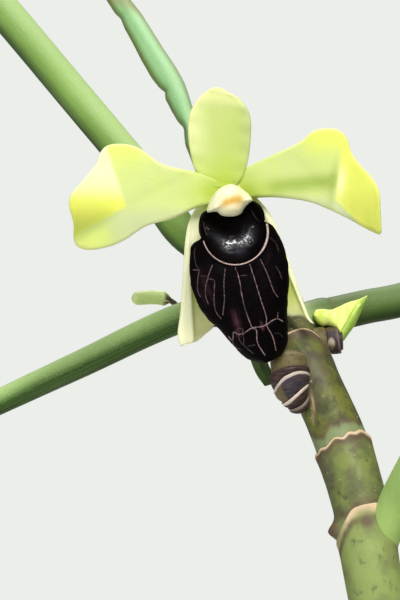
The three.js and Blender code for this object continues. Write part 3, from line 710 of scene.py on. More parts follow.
green = {
    # Each leaf finish takes three greens: the lightest also paints light on the side facing the lamp, the
    # darkest paints shade on the far side.
    "light": (184, 213, 144), "mid": (128, 164, 78), "dark": (30, 64, 4), "dot": (220, 234, 196),
    "pale": (206, 232, 156), "paleMid": (180, 212, 124), "paleDark": (150, 186, 96),
    "blue": (184, 224, 174), "blueDark": (140, 188, 132), "olive": (120, 112, 72),
    "dim": (50, 68, 28), "sheath": (164, 186, 104), "speck": (52, 62, 30), "tip": (150, 132, 92),
}
leafDetail = {"jointAt": 5.2, "flare": 0.3, "rows": 130, "columns": 44, "plainRows": 54, "plainColumns": 20}


def rodSteps(length, tipRadius, count):
    # Even steps along a rod and closer ones round its blunt tip.
    body = length - tipRadius
    tip = body + tipRadius * np.sin(np.linspace(0, math.pi / 2, 9)[1:-1])
    return np.concatenate([np.linspace(0, body, count), tip])


def rodRadius(distances, length, rootRadius, tipRadius):
    # A straight taper that closes in a half circle over its last tipRadius.
    body = length - tipRadius
    past = (np.maximum(distances, body) - body) / tipRadius
    taper = between(rootRadius, tipRadius, np.minimum(distances / body, 1))
    return taper * np.sqrt(np.clip(1 - past ** 2, 0.02, 1))


def leafFinish(name, light, mid, dark):
    # Waxy green with painted light and shade: lighter where it faces the key lamp, darker on its far side,
    # with fine lines, pale pores and a few dark specks.
    finish, wires, shader, place = newFinish(name, Coat_Weight=0.03, Coat_Roughness=0.35,
                                             Specular_IOR_Level=0.12)
    lines = wires.effect(fineStreaks, Along=wires.field("along"), Across=wires.field("across"),
                         Stretch=0.06, Lines=9.0, Low=0.3, High=0.7)
    clouds = wires.effect(softPatches, Place=place, Scale=130.0, Low=0.35, High=0.65)["Mask"]
    pores = wires.effect(scatteredDots, Place=place, Scale=6500.0, Size=0.36, Share=0.4)["Mask"]
    specks = wires.effect(scatteredDots, Place=place, Scale=420.0, Size=0.09, Share=0.1)["Mask"]
    sky, age, dim = wires.field("sky"), wires.field("age"), wires.field("dim")
    # painted shade: dark where a point faces away from the key lamp, spread further on some leaves
    lower = wires.maths("SUBTRACT", sky, wires.times(age, 0.35))
    lower = wires.maths("ADD", wires.remap(lower, 0.62, 0.2), wires.times(clouds, 0.15))
    # painted highlight: light where a point faces the key lamp, widened on leaves whose spread is below 0
    upper = wires.maths("SUBTRACT", sky, wires.times(wires.maths("MINIMUM", age, 0.0), 0.35))
    # pale pores, shown mostly under the painted highlight and faded under painted shadow
    poreShare = wires.times(pores, wires.remap(sky, 0.4, 0.95, 0.05, 0.6))
    poreShare = wires.times(poreShare, wires.remap(dim, 0.0, 0.9, 1.0, 0.15))
    # painted shadow darkens a whole leaf that lies in shade
    colour = wires.layers(
        mid, (wires.maths("MINIMUM", lower, 1.0), dark), (lines["Mask"], light, 0.16),
        (wires.remap(upper, 0.6, 1.0, 0.0, 0.9), light), (dim, green["dim"]),
        (wires.field("sheathed"), green["sheath"]), (poreShare, green["dot"]),
        (specks, green["speck"], 0.6), (wires.field("edge"), green["olive"]),
        (wires.field("tip"), green["tip"]))
    relief = wires.maths("ADD", lines["Height"], wires.times(pores, 0.3))
    surfaced(wires, shader, colour, wires.remap(clouds, 0.0, 1.0, 0.36, 0.5), relief, 0.06, 0.5)
    return finish


def leaf(route, rootRadius, tipRadius, seed, facing=viewer, plain=False, shape=None, age=0.0, dim=0.0,
         joined=1.0):
    # A pencil-like leaf: a tapered rod with a flared foot, a joint just above its sheath and a
    # slight unevenness. shape(height, angle) moves its margins out or in.
    rows = leafDetail["plainRows" if plain else "rows"]
    turns = turnsRound(leafDetail["plainColumns" if plain else "columns"])
    length, joint = routeLength(route), leafDetail["jointAt"]
    steps = [rodSteps(length, tipRadius, rows), joint + np.linspace(-1, 1.5, 12)]
    distances = np.unique(np.concatenate(steps))[:, None]
    radius = rodRadius(distances, length, rootRadius, tipRadius)
    flare = joined * leafDetail["flare"] * np.exp(-distances / 2)
    swell = 0.05 * hump(distances, joint - 0.5, 0.6)
    pinch = 0.06 * joined * hump(distances, joint + 0.3, 0.16)
    uneven = 0.012 * (ripple(seed, distances / 5, *circle(turns)) - 1)
    radii = radius * (1 + swell + flare - pinch + uneven)
    if shape is not None:
        centre, _ = routeAt(route, distances[:, 0])
        radii = radii * shape(centre[:, 2:3], turns)
    return tube(route, distances, turns, radii, facing, {
        "along": distances + seed * 9, "across": turns / math.pi * radius * 3,
        # how far the painted shade spreads, and painted shadow over the leaf past its foot
        "age": age, "dim": dim * ramp(distances, 1, 4),
        "edge": 0.5 * joined * hump(distances, joint + 0.3, 0.3),
        "tip": 0.8 * ramp(distances, length - 2.2, length - 0.3),
        "sheathed": (1 - joined) * (1 - ramp(distances, 5, 15)),
    })


# The shoot that flowers: its route, the heights of its sheath rims and its leaves
stemFoot, stemStraight = 66, 94


def buried(x, y):
    return [[x, y, stemFoot], [x, y, (stemFoot + stemStraight) / 2], [x, y, stemStraight]]


floweringShoot = {
    "route": [
        *buried(-27, -22), [-30, -25.5, 108], [-35, -31, 130], [-41.5, -36, 155], [-47.45, -37.9, 174.4],
        [-48.7, -36, 182.1], [-50.9, -32.5, 189.9], [-53.9, -30, 196.7], [-55.8, -28, 200.9],
        [-57.6, -25, 205.4],
    ],
    "radius": 2.85,
    "tipRadius": 1.9,
    # rim height, slant in mm, side it rises to in degrees (0 the viewer, 90 the viewer's right),
    # raggedness, width, how much paler stem shows above it; on two, how level their high side stays
    "rims": [
        (96, 0.6, 80, 0.2, 0.3, 0.6), (107, 0.7, -90, 0.25, 0.3, 1), (118, 0.6, 95, 0.2, 0.3, 0.7),
        (129, 0.8, -80, 0.3, 0.3, 1), (140, 0.7, 70, 0.2, 0.3, 0.5), (151, 0.9, -70, 0.35, 0.3, 1),
        (161, 0.8, 80, 0.3, 0.3, 0.7), (171, 1.0, -60, 0.3, 0.3, 0.8),
        (182.7, 3.0, 60, 0.08, 1.1, 0, 0.33), (189.4, 0.9, 85, 0.7, 0.3, 1),
        (199.8, 6.0, 0, 0.06, 0.07, 0, 0), (203.2, 0.3, 60, 0.1, 0.1, 0),
    ],
    "leafyTo": 182.2,            # up to here the sheaths are still green
    # foot, direction and reach of the torn edge round each flower spike
    "scars": (((-54.9, -32.7, 193.2), (-0.35, -0.3, 1), 1.45),),
    # height, side, reach and rise of each dark swelling; the second hardly rises and is painted shadow by
    # the near leaf's foot
    "knobs": ((181.5, -80, 0.95, 1.05), (181.3, 3, 0.62, 0.02)),
    # root radius, tip radius and route
    "leaves": {
        "upperLeft": (1.8, 1.75, [
            [-57.6, -25, 205.4], [-61.9, -26, 207.9], [-66.5, -27, 210.7], [-69.95, -27.7, 215.4],
            [-77.6, -29, 224.6], [-88.6, -32.5, 237.4], [-118, -38, 268]]),
        "youngest": (1.35, 0.95, [
            [-57.6, -25, 205.4], [-60.2, -23, 210.6], [-62.7, -22, 214.2], [-64.4, -21, 217.4],
            [-66, -20.2, 221.9], [-67.4, -19.6, 225.4], [-72, -18.4, 233.4], [-76.6, -17, 240.9],
            [-81.5, -16, 248]]),
        "lowerLeft": (1.72, 0.8, [
            [-56.6, -26.5, 203.2], [-60.9, -24, 203.7], [-67.1, -22, 202.1], [-77.5, -19.5, 197.3],
            [-86.1, -17, 193.3], [-131, -15, 172]]),
        "right": (1.8, 1.65, [
            [-56.2, -27.5, 200.4], [-54, -26.3, 201.9], [-51, -25.2, 202.6], [-47.6, -23.5, 203.35],
            [-44.2, -22, 204], [-30, -19, 208.5], [-8, -16, 217], [14, -12, 229]]),
        "nearRight": (1.8, 1.6, [
            [-47.9, -36.8, 172], [-47.5, -36.2, 178], [-45.75, -38.5, 183.8], [-42.95, -44.4, 190.5],
            [-36, -52, 207], [-28, -62, 224], [-17, -75, 243]]),
        "lowLeft": (1.8, 1.5, [
            [-45, -37.5, 166.5], [-52, -41, 169], [-70, -46, 169], [-90, -50, 166], [-118, -56, 156]]),
        "lowRight": (1.8, 1.5, [
            [-42.4, -36.6, 158], [-37, -38.5, 164], [-24, -42, 173], [5, -50, 188], [30, -58, 205]]),
        "lowestLeft": (1.8, 1.5, [
            [-39, -34, 146], [-44, -37, 150.5], [-60, -42, 152], [-90, -50, 146], [-112, -56, 132]]),
        "lowestRight": (1.8, 1.5, [
            [-36.2, -32, 134.5], [-31, -33.5, 140], [-14, -38, 147], [12, -46, 151], [36, -54, 149]]),
    },
    # how far painted shade spreads over each leaf from its underside, and how much painted shadow darkens it
    # all
    "shadeSpreads": {"upperLeft": -0.18, "lowerLeft": 0.82, "right": 0.5, "lowRight": 0.3, "lowestLeft": 0.4},
    "paintedShadows": {"right": 0.72},
    # the youngest leaf's worn margins: its reach left and right at each height, as shares of its radius
    "wornLeft": ((217, 0.85), (218.1, 0.82), (219.6, 0.85), (220.4, 0.92), (221.4, 0.74), (222.2, 0.52),
                 (222.9, 0.85), (224.2, 1.05), (225.6, 1.12), (226.15, 0.86), (226.8, 1.14), (228, 1.34),
                 (229.8, 1.33), (231.7, 1.21), (233.1, 1.17), (234.1, 1.0), (234.7, 1.24), (236.3, 1.3),
                 (240, 1.1)),
    "wornRight": ((218, 0.95), (223.8, 0.84), (226.2, 1.14), (227.9, 1.15), (229.8, 1.03), (233.5, 1.0),
                  (235.1, 0.78), (237, 0.9), (240, 1.0)),
}
sheath = {
    "step": 0.42, "lip": 0.16, "freshBand": 1.5, "taper": 12,
    "columns": 64, "rows": 34, "plainColumns": 36, "plainRows": 12,
    "olive": (58, 60, 26), "light": (108, 112, 40), "grey": (86, 86, 64), "brown": (56, 42, 38),
    "purple": (84, 72, 62), "fresh": (130, 144, 98), "leafy": (156, 176, 100),
    # the dark brown draws lines by the rims and also paints shade
    "rim": (228, 196, 164), "lineAndShade": (92, 64, 54), "grit": (204, 206, 172),
}


def stemFinish():
    # Old sheaths: olive with a grey bloom and painted edge light, brown stains, pale grit; tan rims with
    # brown lines and painted shade.
    finish, wires, shader, place = newFinish("leafSheaths", Specular_IOR_Level=0.4)
    lines = wires.effect(fineStreaks, Along=wires.field("along"), Across=wires.field("across"),
                         Stretch=0.5, Lines=6.0, Low=0.35, High=0.7)
    clouds = wires.effect(softPatches, Place=place, Scale=380.0, Detail=6.0, Low=0.36, High=0.62)
    stains = wires.effect(softPatches, Place=place, Scale=900.0, Detail=6.0, Low=0.56, High=0.7)["Mask"]
    blotches = wires.effect(softPatches, Place=place, Scale=260.0, Detail=3.0, Low=0.44, High=0.64)["Mask"]
    grit = wires.effect(scatteredDots, Place=place, Scale=2600.0, Size=0.3, Share=0.08)["Mask"]
    leafy = wires.field("leafy")
    colour = wires.layers(
        sheath["olive"], (clouds["Mask"], sheath["light"]), (lines["Mask"], sheath["grey"], 0.14),
        # the bloom field is grey bloom in patches and also a painted light edge down the stem's sides
        (wires.field("bloom"), sheath["grey"]), (leafy, sheath["leafy"]),
        (blotches, sheath["purple"], wires.remap(leafy, 0.3, 0.69, 0.62, 0.3)),
        (stains, sheath["brown"], 0.55), (wires.field("fresh"), sheath["fresh"]),
        (grit, sheath["grit"], wires.remap(leafy, 0.0, 0.7, 0.5, 0.08)),
        # brown lines by the rims, and painted shade under each lip, below a wide rim and by the near leaf
        (wires.field("shade"), sheath["lineAndShade"]), (wires.field("rim"), sheath["rim"]))
    relief = wires.maths("ADD", wires.times(lines["Height"], 0.4), clouds["Height"])
    surfaced(wires, shader, colour, wires.remap(clouds["Mask"], 0.0, 1.0, 0.68, 0.54), relief, 0.12, 0.6)
    return finish


def tearRound(made, place, direction, reach):
    # A torn, tan ring round the foot of a flower spike, with a dark line outside it: both follow
    # the distance from the spike's axis.
    direction = np.asarray(direction, float) / np.linalg.norm(direction)
    offset = made["points"] - np.asarray(place, float)
    apart = np.linalg.norm(offset - np.outer(offset @ direction, direction), axis=1)
    close = 1 - ramp(np.linalg.norm(offset, axis=1), 1.2 * reach, 1.6 * reach)
    for field, share, outside, spread in (("rim", 0.6, 0, 0.1), ("shade", 0.5, 0.3, 0.2)):
        torn = share * close * hump(apart, reach + outside, spread)
        made["fields"][field] = np.maximum(made["fields"][field], torn)


def sheathedStem(route, rims, radius, tipRadius, seed, leafyTo, plain=False, scars=(), knobs=()):
    # Sheath after sheath: each widens to a thin ragged rim, slanted round the stem, and steps back
    # to the next. Rows follow the rims, so that every rim is a clean edge. Knobs are dark swellings; a flat
    # one is painted shadow.
    columns = sheath["plainColumns" if plain else "columns"]
    length = routeLength(route)
    turns = turnsRound(columns)
    shares = np.linspace(0, 1, sheath["plainRows" if plain else "rows"])[:, None]
    shares = shares - 0.8 * np.sin(2 * np.pi * shares) / (2 * np.pi)  # closer rows at foot and rim
    bands = []  # rows of distances, radii past the taper, and shares of rim, fresh and shade colour
    foot = np.zeros((1, columns))
    paler, below = 0, 0
    for k, (height, slant, side, rag, width, above, *level) in enumerate(rims):
        torn = ripple(seed + k, *circle(turns, 1.8), 0.9 * np.sin(3 * turns))
        dip = (1 - np.cos(turns - math.radians(side))) / 2
        dip = ramp(dip, level[0], 1) if level else dip
        mouth = distanceAtHeight(route, height) - slant * dip + rag * torn
        mouth = np.maximum(mouth, foot + 0.5)
        rows = between(foot, mouth, shares)
        flare = sheath["step"] * (0.25 + 0.75 * np.exp((rows - mouth) / 2.2)) - 0.1
        width = width * (1 + 0.6 * ripple(seed + 30 + k, *circle(turns, 2)))
        rim = ramp(rows, mouth - width - np.minimum(0.16, 0.6 * width), mouth - width * 0.5)
        band = sheath["freshBand"] + 0.8 * torn + 0 * rows
        fresh = 0.95 * paler * (1 - ramp(rows - foot, band - 0.3, band + 0.3))
        # brown lines under the rim and over the fresh band, and painted shadow that a wide rim casts on the
        # foot of the sheath above
        shade = (0.75 * hump(rows, mouth - width - 0.35, 0.4)
                 + 0.55 * paler * hump(rows, foot + band + 0.2, 0.4)
                 + 0.8 * ramp(below, 0.5, 1) * hump(rows, foot + 0.2, 0.6))
        bands.append((rows, flare, rim, fresh, shade))
        # over the lip and down to the next sheath's foot, with painted shade in the step under the lip
        bands.append((mouth + np.array([[0.07], [0.04]]),
                      flare[-1:] - np.array([[0.07], [sheath["lip"] + 0.12]]),
                      np.array([[1], [0.4]]), 0, np.array([[0], [0.8]])))
        foot = mouth + 0.06
        paler, below = above, width
    end = length - 0.3 * tipRadius
    rows = between(foot, end, shares)
    bands.append((rows, -0.02 - tipRadius * 0.6 * ramp(rows, end - 1.5, end + 0.6), 0, 0.5, 0))
    distances, radii, rim, fresh, shade = (
        np.vstack([np.broadcast_to(value, rows.shape) for rows, value in each])
        for each in ([(band[0], band[k]) for band in bands] for k in range(5)))
    base = between(radius, tipRadius, np.clip(distances / length, 0, 1) ** sheath["taper"])
    grooves = 0.02 * ripple(seed + 50, *circle(turns, 3), distances / 6)
    dents = 0.03 * ripple(seed + 60, distances / 2.5, *circle(turns, 1.2))
    whole = base + radii + grooves + dents
    for height, side, reach, rise in knobs:
        apart = np.hypot(distances - distanceAtHeight(route, height),
                         2 * radius * np.sin((turns - math.radians(side)) / 2)) / reach
        whole = whole + rise * hump(apart, 0, 1)
        rim = rim * (1 - np.exp(-(apart / 2.2) ** 4))
        # a dark patch on each knob: purple-brown on the swollen one, painted shadow on the flat one
        shade = np.maximum(shade, np.minimum(0.85, 1.3 * hump(apart, 0, 1.1)))
    bloomAndEdgeLight = ramp(ripple(seed + 70, distances / 4, *circle(turns, 1.5)), -0.2, 1.1)
    # painted light: a pale edge down both sides of the stem as the front sees them
    bloomAndEdgeLight = np.maximum(bloomAndEdgeLight, ramp(np.abs(np.sin(turns)), 0.86, 0.99))
    leafEnd = distanceAtHeight(route, leafyTo)
    leafy = (0.38 * (1 - ramp(distances, leafEnd - 0.5, leafEnd + 0.5))
             + 0.27 * (1 - ramp(distances, leafEnd + 7.8, leafEnd + 8.4)) + 0.04)
    fields = {"along": distances, "across": turns * base, "rim": rim, "fresh": fresh, "shade": shade,
              "bloom": 0.6 * bloomAndEdgeLight, "leafy": leafy}
    made = tube(route, distances, turns, whole, viewer, fields)
    for scar in scars:
        tearRound(made, *scar)
    return made


def wornMargins(height, turns):
    # Moves each side of the youngest leaf out or in to its worn and bitten margin.
    reach = 1
    for key, side in (("wornLeft", -1), ("wornRight", 1)):
        share = np.interp(height, *zip(*floweringShoot[key]))
        reach = reach + (share - 1) * ramp(side * np.sin(turns), 0.15, 0.85)
    return reach


def makeFloweringShoot():
    # The stem, then its leaves, sorted by colour into three pieces.
    shoot = floweringShoot
    stem = sheathedStem(shoot["route"], shoot["rims"], shoot["radius"], shoot["tipRadius"], 1,
                        shoot["leafyTo"], scars=shoot["scars"], knobs=shoot["knobs"])
    makePiece("flowering_stem", [stem], sheathsFinish, "shoot", "shoot_1", crease=50)
    greens, blues, pales = [], [], []
    for k, (name, (root, tip, route)) in enumerate(shoot["leaves"].items()):
        made = leaf(route, root, tip, 20 + k, shape=wornMargins if name == "youngest" else None,
                    age=shoot["shadeSpreads"].get(name, 0.0), dim=shoot["paintedShadows"].get(name, 0.0),
                    joined=0.0 if name == "nearRight" else 1.0)
        {"youngest": blues, "nearRight": pales}.get(name, greens).append(made)
    turns = turnsRound(leafDetail["columns"])
    for made in blues:
        # olive margins left and right of a pale blue-green middle
        rows = (len(made["points"]) - 2) // leafDetail["columns"]
        margin = np.broadcast_to(0.42 * ramp(np.abs(np.sin(turns)), 0.5, 0.95), (rows, turns.size))
        made["fields"]["edge"] = np.concatenate([margin.ravel(), [0.3, 0.3]])
        height = made["points"][:, 2]
        made["fields"]["tip"] = 0.55 * ramp(height + 0.4 * made["points"][:, 0], 204.8, 206.0)
    makePiece("flowering_leaves", greens, leafGreen, "shoot", "shoot_1")
    makePiece("youngest_leaf", blues, leafBlue, "shoot", "shoot_1")
    makePiece("near_leaf", pales, leafPale, "shoot", "shoot_1")


leafGreen = leafFinish("leafGreen", green["light"], green["mid"], green["dark"])
leafBlue = leafFinish("leafBlueGreen", green["blue"], green["blueDark"], green["mid"])
leafPale = leafFinish("leafPaleGreen", green["pale"], green["paleMid"], green["paleDark"])
sheathsFinish = stemFinish()
makeFloweringShoot()
print("flowering shoot made")

# The rest of the clump by rule, as the solids have it
shootRules = {
    "shoot_2": {"foot": (8, 20), "tip": (16, 36, 226), "turn": 98, "firstLeaf": 128, "spans": (98, 62),
                "radius": 2.6},
    "shoot_3": {"foot": (30, -14), "tip": (50, -24, 172), "turn": 48, "firstLeaf": 116, "spans": (92, 58),
                "radius": 2.5},
    "shoot_4": {"foot": (27, 16), "tip": (46, 26, 214), "turn": 62, "firstLeaf": 132, "spans": (96, 60),
                "radius": 2.6},
    "shoot_5": {"foot": (-16, 26), "tip": (-26, 42, 158), "turn": 78, "firstLeaf": 112, "spans": (72, 50),
                "radius": 2.4},
    "shoot_6": {"foot": (2, -6), "tip": (6, -14, 132), "turn": 12, "firstLeaf": 106, "spans": (58, 44),
                "radius": 2.2},
}
shootHabit = {"internode": 11, "rootPitch": 74, "leafRadius": 1.8, "bends": 6}


def ruledLeafRoute(root, turn, span, tipPitch):
    # Starts steep in its sheath and bends out: equal steps whose pitch falls toward the tip.
    bends = shootHabit["bends"]
    share = np.arange(bends) / (bends - 1)
    pitch = np.radians(between(shootHabit["rootPitch"], tipPitch, share * (2 - share)))
    step = span / bends
    moves = np.stack([step * np.cos(pitch) * math.cos(turn), step * np.cos(pitch) * math.sin(turn),
                      step * np.sin(pitch)], -1)
    return np.vstack([root, root + np.cumsum(moves, axis=0)])


def makeRuledShoot(name, rule, seed):
    # A stem that leans out more and more toward its tip, with leaves on alternate sides of it, shorter
    # and steeper toward the top.
    (x, y), tip, radius = rule["foot"], rule["tip"], rule["radius"]
    lean = [[between(x, tip[0], s ** 1.3), between(y, tip[1], s ** 1.3), between(stemStraight, tip[2], s)]
            for s in (0.3, 0.65, 1)]
    route = [*buried(x, y), *lean]
    heights = np.arange(stemStraight + 4, tip[2] - 3, shootHabit["internode"])
    rims = [(height, 0.7, rule["turn"] + 90 + 180 * (k % 2), 0.22, 0.3, 1)
            for k, height in enumerate(heights)]
    stem = sheathedStem(route, rims, radius, radius * 0.7, 10 * seed, 0.8 * tip[2], plain=True)
    leafy = heights[heights >= rule["firstLeaf"]]
    leaves = []
    for k, height in enumerate(leafy):
        # the leaf's age, 1 for the lowest; older leaves also get their painted shade spread further
        age = 1 - k / (len(leafy) - 1)
        key = seed * 20 + k
        turn = math.radians(rule["turn"] + 180 * (k % 2) + 24 * (scatter(key) - 0.5))
        span = between(rule["spans"][1], rule["spans"][0], age) * (0.92 + 0.16 * scatter(key + 0.5))
        tipPitch = between(62, 16, age) + 10 * (scatter(key + 0.3) - 0.5)
        root, _ = routeAt(route, np.array([distanceAtHeight(route, height - 1.5)]))
        leafRoute = ruledLeafRoute(root[0], turn, span, tipPitch)
        thick = shootHabit["leafRadius"]
        leaves.append(leaf(leafRoute, thick * between(0.8, 1, age), thick * 0.8, key, (0, 0, 1), plain=True,
                           age=0.4 * age * float(scatter(key + 0.9))))
    makePiece(name + "_stem", [stem], sheathsFinish, "shoot", name, crease=50)
    makePiece(name + "_leaves", leaves, leafGreen, "shoot", name)


for number, (name, rule) in enumerate(shootRules.items()):
    makeRuledShoot(name, rule, number + 1)
print("the other shoots made")

# Roots: thick and pale under a spongy skin, green at the tip; each has a radius and a route
roots = {
    "root_1": (0.85, [
        [-56.4, -23.4, 203], [-60.8, -18, 201.7], [-64.5, -16, 201.5], [-66.5, -16, 202.3],
        [-67.9, -16, 203.8], [-69.4, -16.5, 204.25], [-72.2, -17, 204.15]]),
    "root_2": (1.3, [
        [-24.9, -22.8, 101], [-16, -26, 103], [-8, -32, 100], [-6, -34, 95], *buried(-6, -35)[::-1][1:]]),
    "root_3": (1.3, [
        [11.4, 21.9, 104], [16, 25, 105], [19, 29.5, 101], [19, 31, 95], *buried(19, 31)[::-1][1:]]),
    "root_4": (1.3, [
        [27.1, -14.3, 100], [19, -18, 102.5], [13, -24, 100], [12, -27, 95], *buried(12, -27.5)[::-1][1:]]),
    "root_5": (1.3, [
        [-31, -27, 101], [-37, -32, 103.5], [-43.5, -38.5, 102], [-46.5, -42, 96], [-46, -41.3, 84],
        [-43.5, -39.5, 66], [-41.5, -38, 48]]),
    "root_6": (1.3, [
        [35.3, -15.2, 104], [42, -19, 107], [51.5, -23, 103], [55, -24.5, 94], [54, -24, 80],
        [51.3, -23, 62]]),
}
rootLook = {
    "columns": 28, "skinEnd": 3.6, "wasted": 0.62,
    "skin": (188, 190, 172), "skinDark": (146, 148, 122), "flake": (228, 228, 214),
    "green": (122, 158, 74), "tip": (232, 255, 164), "dead": (74, 62, 42),
}


def rootFinish():
    # A chalky grey-green skin with pale flakes, lime at the tip, and a dark dead core.
    finish, wires, shader, place = newFinish("spongyRoot")
    patches = wires.effect(softPatches, Place=place, Scale=620.0, Detail=6.0, Low=0.38, High=0.62)
    flakes = wires.effect(scatteredDots, Place=place, Scale=1500.0, Size=0.3, Share=0.3)["Mask"]
    tip = wires.field("tip")
    colour = wires.layers(
        rootLook["skin"], (patches["Mask"], rootLook["skinDark"]), (flakes, rootLook["flake"], 0.4),
        (wires.field("tint"), rootLook["green"]), (tip, rootLook["tip"]),
        (wires.field("dead"), rootLook["dead"]))
    surfaced(wires, shader, colour, wires.remap(tip, 0.0, 1.0, 0.88, 0.38), patches["Height"], 0.22, 0.7)
    return finish


def makeRoots():
    # Knobbly tapered rods. The short one is a thin dead core behind the ragged end of its green skin.
    finish = rootFinish()
    turns = turnsRound(rootLook["columns"])
    for k, (name, (radius, route)) in enumerate(roots.items()):
        tipRadius = radius * 0.9
        length = routeLength(route)
        count = max(40, int((length - tipRadius) * 1.6))
        distances = rodSteps(length, tipRadius, count)[:, None]
        short = name == "root_1"
        knobs = 0.03 * ripple(90 + k, distances / 3, *circle(turns, 1.3)) * (0.3 if short else 1)
        torn = rootLook["skinEnd"] + 0.35 * ripple(77, *circle(turns, 3))
        dead = (1 - ramp(length - distances, torn + 0.25, torn)) * short
        thick = rodRadius(distances, length, radius, tipRadius) * (1 - rootLook["wasted"] * dead)
        free = name in ("root_1", "root_5", "root_6")
        tip = np.maximum(ramp(distances, length - 7, length - 4), short) * free
        tint = 0.35 + 0.3 * ripple(70 + k, distances / 9, np.cos(turns))
        made = tube(route, distances, turns, thick * (0.965 + knobs), (0.31, -0.9, 0.29),
                    {"tip": 0.95 * tip, "dead": dead + 0 * distances, "tint": np.clip(tint, 0, 1)})
        makePiece("aerial_" + name if free else "ground_" + name, [made], finish, "root", name)


makeRoots()
print("roots made")

# Bloom: outlines are [x, z] from the bloom's centre, as the viewer sees it. A petal's fold gives
# the ends of its two creases, which start at inner, and slopes how steeply each part falls past them.
tepals = {
    "dorsal_sepal": {
        "left": [[-1.8, 0.3], [-3.4, 1.8], [-3.95, 3.6], [-4.2, 5.7], [-4.05, 7.5], [-3.3, 8.9],
                 [-2.3, 9.85], [-1.5, 10.2]],
        "right": [[0.7, 0.3], [1.5, 1.8], [1.9, 3.5], [2.05, 5], [2.1, 6.5], [1.9, 7.7], [1, 9],
                  [-0.3, 9.8], [-1.0, 10.2]],
    },
    "left_petal": {
        "left": [[-0.8, 0.9], [-3.5, 1.8], [-5.5, 2.2], [-7, 2.7], [-9, 4.1], [-10.4, 4.55],
                 [-12.2, 4.45], [-12.9, 3.8], [-13.3, 2.7], [-14, 1.7], [-15, 0.5], [-15.8, -0.5],
                 [-16, -1.3]],
        "right": [[-0.8, -1.3], [-3.3, -1.8], [-5.5, -2.8], [-8.5, -3.7], [-10.5, -5], [-12, -5.65],
                  [-14.2, -6], [-15.2, -5.7], [-15.6, -5], [-15.6, -3.5], [-15.95, -1.9]],
        "fold": {"top": (-12.3, 4.2), "inner": (-10.3, -1.7), "low": (-15.5, -4.6)},
        "slopes": (0.47, 0.85),
    },
    "right_petal": {
        "left": [[0.2, -1.2], [2.8, -0.8], [5, -0.8], [8, -1.25], [9.5, -1.8], [12, -3], [13.3, -3.75],
                 [14.2, -4.2], [14.9, -4.5]],
        "right": [[0.2, 1.1], [1.8, 2.3], [4.5, 3.6], [7, 4.8], [8.4, 5.9], [10, 6.15], [11.1, 5.85],
                  [11.7, 5.1], [12.1, 3.8], [12.7, 2.8], [14.3, 0.9], [14.8, -0.2], [15, -2.4],
                  [15.15, -4.2]],
        "fold": {"top": (11.3, 5.9), "inner": (10.4, -0.95), "low": (13.2, -3.75)},
        "slopes": (0.55, 0.62),
    },
    "left_lateral_sepal": {
        "left": [[-2.4, -0.8], [-3.45, -1.8], [-4.2, -3.4], [-4.5, -5.1], [-4.7, -8.2], [-5, -12.3],
                 [-5.25, -14.6], [-5, -15.7]],
        "right": [[-0.6, -1.6], [-0.9, -4], [-1.1, -7], [-1.2, -10], [-1.4, -13], [-1.7, -13.8],
                  [-2.4, -14.4], [-3.4, -15.2], [-4.6, -15.5]],
    },
    "right_lateral_sepal": {
        "left": [[0.6, -1.6], [1.4, -4], [2.5, -7], [3.6, -9.5], [4.9, -12], [5.8, -12.6], [7.3, -12.7],
                 [8.1, -13.3]],
        "right": [[1.6, -0.4], [2.7, -0.8], [4.1, -2.5], [5, -4.6], [5.9, -6.9], [6.8, -9.5],
                  [7.5, -11.5], [8.1, -12.9], [8.5, -13.4]],
    },
}
petal = {
    "thickness": 0.62, "rows": 96, "columns": 56,
    "crease": 0.22, "melt": 0.4,     # how softly a crease bends, and how softly two of them meet
    # slant and offset of each lateral sepal's keel, and the side of it that falls away
    "leftKeel": (0.046, 4.45, 1), "rightKeel": (0.41, -2.6, -1),
    # cream and white also paint light on lit facets and thin margins; shade and the darkest green paint
    # shade
    "blade": (210, 223, 136), "cream": (250, 250, 192), "white": (255, 255, 208),
    "gold": (236, 240, 96), "heart": (182, 204, 68), "pale": (198, 207, 164),
    "shade": (160, 182, 84), "vein": (200, 216, 122), "deep": (44, 72, 22),
}


def petalFinish():
    # Soft and slightly see-through; the colour goes from green at the heart to gold at the tips.
    finish, wires, shader, place = newFinish(
        "petalFlesh", Specular_IOR_Level=0.35, Sheen_Weight=0.08, Subsurface_Weight=0.18,
        Subsurface_Scale=0.0012, Subsurface_Radius=(1.0, 1.0, 0.35))
    lines = wires.effect(fineStreaks, Along=wires.field("along"), Across=wires.field("across"),
                         Stretch=0.12, Lines=2.6, Low=0.35, High=0.68)
    cells = wires.effect(softPatches, Place=place, Scale=5200.0, Low=0.4, High=0.6)
    clouds = wires.effect(softPatches, Place=place, Scale=260.0, Low=0.35, High=0.65)["Mask"]
    # the washes include painted light in cream and white, and painted shade in shade and the darkest green
    washes = ("pale", "gold", "shade", "heart", "cream", "white", "deep")
    colour = wires.layers(
        petal["blade"], (clouds, petal["pale"], 0.25), (lines["Mask"], petal["vein"], 0.2),
        *((wires.field(wash), petal[wash]) for wash in washes))
    relief = wires.maths("ADD", wires.times(lines["Height"], 0.9), cells["Height"])
    surfaced(wires, shader, colour, wires.remap(cells["Height"], 0.3, 0.7, 0.44, 0.58), relief, 0.05, 0.35)
    return finish


def creaseSide(start, end, x, z):
    # The distance from a crease line, positive on the left of its direction.
    run, rise = end[0] - start[0], end[1] - start[1]
    return (run * (z - start[1]) - rise * (x - start[0])) / math.hypot(run, rise)


def softBend(distance, slope):
    # Nothing before the crease and a steady slope after it, with a small rounding between.
    return slope * petal["crease"] * np.logaddexp(0, distance / petal["crease"])


